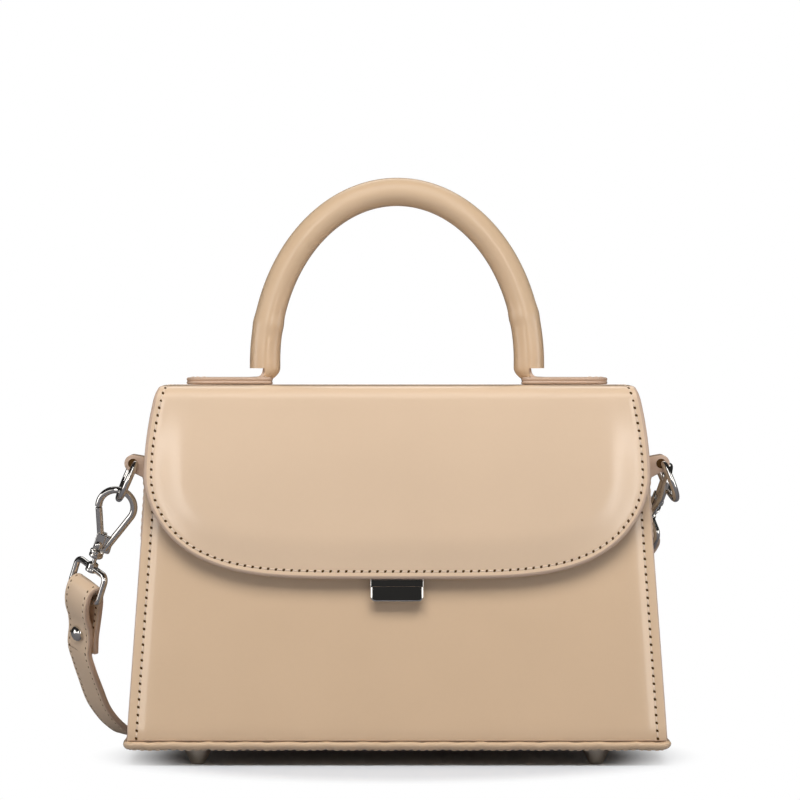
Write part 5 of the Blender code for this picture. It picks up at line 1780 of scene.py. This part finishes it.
def build_tab(name, side):
    piece = Piece("leather_tab_" + name, calf, edge_paint, thread, needle_hole_shade)

    def put(x, y, height):
        return Vector((side * x, y, crown_height(y) + CLEARANCE + height))

    points = [put(x, y, height * MM) for inset, height in TAB_SECTION
              for x, y in tab_outline(inset * MM)]
    count = len(tab_outline(0))
    faces = grid_faces(len(TAB_SECTION), count, True)
    painted = TAB_PAINTED_ROWS * count
    kinds = [1] * painted + [0] * (len(faces) - painted) + [1, 0]
    piece.add(points, faces + end_faces(count, len(points)), kinds)
    line = [put(x, y, TAB_SEAM_HEIGHT) for x, y in tab_outline(TAB_STITCH_INSET, 40)]
    sew(piece, line, [Vector((0, 0, 1))] * len(line), 2, size=0.8)
    stand_in(piece, "flap", "handle_tab_" + name, slot="leather")


for name, side in SIDES:
    build_tab(name, side)

# %% [markdown]
# A tongue comes out of the roll's mouth, turns outward and slips between the tab's leathers.
# On the real bag it is what bends when the handle leans. Two curves, one under it and one
# above, give its shape from the side, and it curls round to fit the roll as it rises.

# %% Tongues
TONGUE_UNDER = ((60.0, 0.6), (57.0, 0.4), (54.2, 0.7), (52.4, 1.7), (51.0, 3.1), (50.1, 4.6),
                (49.6, 6.8), (49.5, 11.5))
TONGUE_ABOVE = ((61.0, 2.8), (58.5, 2.95), (56.6, 3.1), (55.3, 3.7), (54.6, 4.9), (54.3, 6.6),
                (54.1, 9.0), (54.0, 11.5))
TONGUE_COLUMNS = 14
TONGUE_FOOT_REACH = 8.3 * MM
TONGUE_TOP_REACH = 4.5 * MM
TONGUE_CURL_RADIUS = 6.5 * MM
TONGUE_THINNEST = 0.8 * MM
TONGUE_EDGE = 0.5 * MM


def build_tongue(name, side):
    piece = Piece("leather_tongue_" + name, handle_shaded_calf, edge_paint)
    base = crown_height(0) + CLEARANCE
    under, above = (smooth_curve([Vector((x * MM, 0, base + h * MM)) for x, h in places], 4)
                    for places in (TONGUE_UNDER, TONGUE_ABOVE))
    outer, normals, thickness = [], [], []
    for i, (low, high) in enumerate(zip(under, above)):
        share = i / (len(under) - 1)
        through = (high - low).normalized()
        reach = TONGUE_FOOT_REACH + (TONGUE_TOP_REACH - TONGUE_FOOT_REACH) * smooth_step(
            share * 1.6)
        curl = smooth_step((share - 0.25) / 0.5)
        row, sizes = [], []
        for across in clustered(TONGUE_COLUMNS):
            y = across * reach
            on_curl = min(abs(y), 0.95 * TONGUE_CURL_RADIUS)
            sink = curl * (TONGUE_CURL_RADIUS
                           - math.sqrt(TONGUE_CURL_RADIUS ** 2 - on_curl ** 2))
            row.append(Vector((side * (low.x + through.x * sink), y, low.z + through.z * sink)))
            sizes.append(max((high - low).length - sink, TONGUE_THINNEST))
        outer.append(row)
        thickness.append(sizes)
        normals.append([Vector((-side * through.x, 0, -through.z))] * len(row))
    rounded_shell(piece, outer, normals, thickness, TONGUE_EDGE,
                  border_ways(outer, RIGHT * side, BACK, Vector((0, 0, 1)), -BACK), inside=0)
    thing = piece.make()
    base + 2.6 * MM
    base + 8.0 * MM
    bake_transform(thing)


for name, side in SIDES:
    build_tongue(name, side)

# %% [markdown]
# At each side a strip of leather is folded round the ring's straight bar and sewn flat on
# the gusset. Round the bar the fold is thick and round, and the sewn part below it is thin. A
# tube and a plate put together would show a step where the real strip runs on without one. So
# the strip's side view is one outline, carried straight across its width with softened
# borders, and the bar's hole is lined with painted shade, so it shows dark at both ends.

# %% Ring loops
LOOP_BOW = 3.5 * MM
LOOP_BOW_TURN = 84
LOOP_FOOT = 88.2 * MM
LOOP_FOOT_STAND = 1.35 * MM
LOOP_STRIP = ((94.0, 1.5), (100.0, 1.5), (106.0, 1.5), (111.0, 1.7), (114.3, 2.9))
LOOP_TOP = 121.8 * MM
LOOP_LIP = 120.9 * MM
LOOP_BEHIND = (119.0 * MM, 88.2 * MM)
LOOP_EDGE = ((0.5, 7.2), (0.14, 7.05), (0.0, 6.7))
LOOP_SEAM = 5.4
LOOP_SEAM_POINTS = 14
LOOP_HOLE = 1.96 * MM
LOOP_HOLE_END = 7.26 * MM


def loop_wall(z, stand=0.0):
    return Vector((half_width(z) + CLEARANCE + stand, z, 0))


def loop_outline():
    """The folded strip from the side, from its foot up round the bar and down the gusset."""
    strip = [loop_wall(LOOP_FOOT, LOOP_FOOT_STAND) + Vector((0, 0.2 * MM, 0))]
    strip += [loop_wall(z * MM, stand * MM) for z, stand in LOOP_STRIP]
    bow = arc(RING_BAR_X, RING_BAR_HEIGHT, LOOP_BOW, -LOOP_BOW_TURN, LOOP_BOW_TURN, 26)
    return (smooth_curve(strip, 3)[:-1] + [Vector((x, z, 0)) for x, z in bow]
            + [Vector((RING_BAR_X - 2.6 * MM, LOOP_TOP, 0)), loop_wall(LOOP_LIP)]
            + [loop_wall(z) for z in np.linspace(*LOOP_BEHIND, 24)])


def build_ring_loop(name, side):
    piece = Piece("leather_loop_" + name, calf, edge_paint, thread, needle_hole_shade)
    outline = loop_outline()
    count = len(outline)
    inward = []
    for i in range(count):
        way = outline[(i + 1) % count] - outline[i - 1]
        inward.append(Vector((-way.y, way.x, 0)).normalized())
    rows = [(inset, -y) for inset, y in LOOP_EDGE]
    rows += [(0.0, y) for y in (-5.9, -LOOP_SEAM, -4.9, 0, 4.9, LOOP_SEAM, 5.9)]
    rows += reversed(LOOP_EDGE)
    points = []
    for inset, y in rows:
        for place, way in zip(outline, inward):
            q = place + way * (inset * MM)
            points.append(Vector((side * q.x, y * MM, q.y)))
    kinds = []
    for r in range(len(rows) - 1):
        kinds += [int(r < 2 or r >= len(rows) - 3)] * count
    piece.add(points, grid_faces(len(rows), count, True) + end_faces(count, len(points)),
              kinds + [1, 1])
    # The bar's hole is a dark tube of painted shade, for the shade inside the fold.
    hole = lathe([(0, -LOOP_HOLE_END), (LOOP_HOLE, -LOOP_HOLE_END), (LOOP_HOLE, LOOP_HOLE_END),
                  (0, LOOP_HOLE_END)], 28)
    bar = Matrix.Translation((side * RING_BAR_X, 0, RING_BAR_HEIGHT))
    piece.add(*placed(bar @ Matrix.Rotation(math.pi / 2, 4, "X"), hole), 3)
    for y in (-LOOP_SEAM, LOOP_SEAM):
        line = [Vector((side * (p.x + 0.02 * MM), y * MM, p.y))
                for p in outline[:LOOP_SEAM_POINTS]]
        sew(piece, line, [RIGHT * side] * len(line), 2, size=0.8)
    stand_in(piece, "bag", "ring_loop_" + name, slot="leather")


for name, side in SIDES:
    build_ring_loop(name, side)

# %% [markdown]
# The bag stands on a white floor that keeps its soft shadow. An endless white floor would be
# grey further off, where less light falls, and show a horizon. So near the bag the floor is an
# ordinary white surface, and further out it fades into plain white light. Mirrors and soft
# light see it darker than the eye does, or it would wash the bag's lower half out.

# %% Floor
FLOOR_HALF = 4.0
FLOOR_SQUEEZE = (8.4, 9.5, 0)
FLOOR_FADE = (0.72, 1.06)
FLOOR_SEEN = (0.76, 0.79, 0.83)
FLOOR_GLOW = (0.50, 0.52, 0.56)
FLOOR_MIRRORED = (0.20, 0.20, 0.22)


def floor_paint():
    paint = Paint("studio floor", Roughness=0.8)
    seen, mirrored = paint.light_ray("Is Camera Ray"), paint.light_ray("Is Glossy Ray")
    unseen = paint.blend(mirrored, FLOOR_GLOW, FLOOR_MIRRORED)
    paint.set("Base Color", paint.blend(seen, unseen, FLOOR_SEEN))
    squeezed = paint.node("ShaderNodeVectorMath", {"operation": "MULTIPLY"},
                          {0: paint.place(), 1: FLOOR_SQUEEZE}, "Vector")
    away = paint.node("ShaderNodeVectorMath", {"operation": "LENGTH"}, {0: squeezed}, "Value")
    white = paint.node("ShaderNodeEmission", {}, {"Color": (1, 1, 1), "Strength": 1.0})
    surface = Link(paint.tree, paint.shader.outputs[0])
    mix = paint.node("ShaderNodeMixShader", {}, {
        0: paint.fade(away, *FLOOR_FADE) * seen, 1: surface, 2: white})
    paint.put(paint.tree.nodes["Material Output"].inputs["Surface"], mix)
    return paint.material


floor = Piece("studio_floor", floor_paint())
floor.add([(FLOOR_HALF * sx, FLOOR_HALF * sy, 0)
           for sx, sy in ((-1, -1), (1, -1), (1, 1), (-1, 1))], [(0, 1, 2, 3)])
floor.make()

# %% [markdown]
# The world is white to the camera, which gives the background, and a weak even light to the
# bag. A mirror that saw only white would look like paper, so in mirrors the world is a dark
# room with one pale ring round its sides: a dark stretch and a bright one are what make
# nickel and polished leather read as shiny.

# %% World
AMBIENT = 0.12
DARK_ROOM = 0.03
PALE_ROOM = 1.7
FRONT_EDGE = (-0.97, -0.91)
BACK_EDGE = (-0.50, -0.20)
TOP_EDGE = (0.10, 0.32)


def add_world():
    world = bpy.data.worlds.new("studio")
    world.use_nodes = True
    sky = Network(world.node_tree)
    seen, mirrored = sky.light_ray("Is Camera Ray"), sky.light_ray("Is Glossy Ray")
    way = {0: sky.node("ShaderNodeTexCoord", output="Generated")}
    across, upward = (sky.node("ShaderNodeSeparateXYZ", {}, way, axis) for axis in ("Y", "Z"))
    ring = ((sky.fade(across, *FRONT_EDGE) - sky.fade(across, *BACK_EDGE))
            * (1 - sky.fade(upward, *TOP_EDGE)))
    room = ring * (PALE_ROOM - DARK_ROOM) + DARK_ROOM
    unseen = mirrored * room + (1 - mirrored) * AMBIENT
    background = sky.tree.nodes["Background"]
    sky.put(background.inputs["Color"], (1.0, 1.0, 1.0))
    sky.put(background.inputs["Strength"], seen + (1 - seen) * unseen)
    bpy.context.scene.world = world
    print("world", world.name, "with", len(sky.tree.nodes), "nodes")


add_world()

# %% [markdown]
# Even light alone gives no shape. One large soft lamp above the front lights the bag and
# casts its shadow. Two tall strips light nothing and are only seen in mirrors, where they
# draw the upright highlights. A small lamp at each side and one behind lift the edges. A lamp
# that did all of this at once couldn't be tuned, so each does one thing.

# %% Lamps
def add_lamp(name, place, target, size, power, mirrored=True, shining=True):
    data = bpy.data.lights.new(name, "AREA")
    data.shape = "RECTANGLE"
    data.size, data.size_y = size
    data.energy = power
    lamp = bpy.data.objects.new(name, data)
    lamp.location = place
    aim = Vector(target) - Vector(place)
    lamp.rotation_euler = aim.to_track_quat("-Z", "Y").to_euler()
    lamp.visible_camera = False
    lamp.visible_glossy = mirrored
    lamp.visible_diffuse = shining
    bpy.context.scene.collection.objects.link(lamp)
    print(name, power, "W")


add_lamp("lamp_above", (0.0, -0.58, 0.80), (0, 0, 0.10), (0.9, 0.44), 9.2, mirrored=False)
for _, side in SIDES:
    add_lamp("lamp_strip", (side * 0.42, -1.40, 0.42), (0, 0, 0.1), (0.15, 0.80), 2.1,
             shining=False)
    add_lamp("lamp_side", (side * 0.60, -0.12, 0.14), (0, 0, 0.06), (0.2, 0.3), 0.55)
add_lamp("lamp_behind", (0.0, 0.55, 0.95), (0, 0, 0.12), (0.9, 0.3), 1.6)
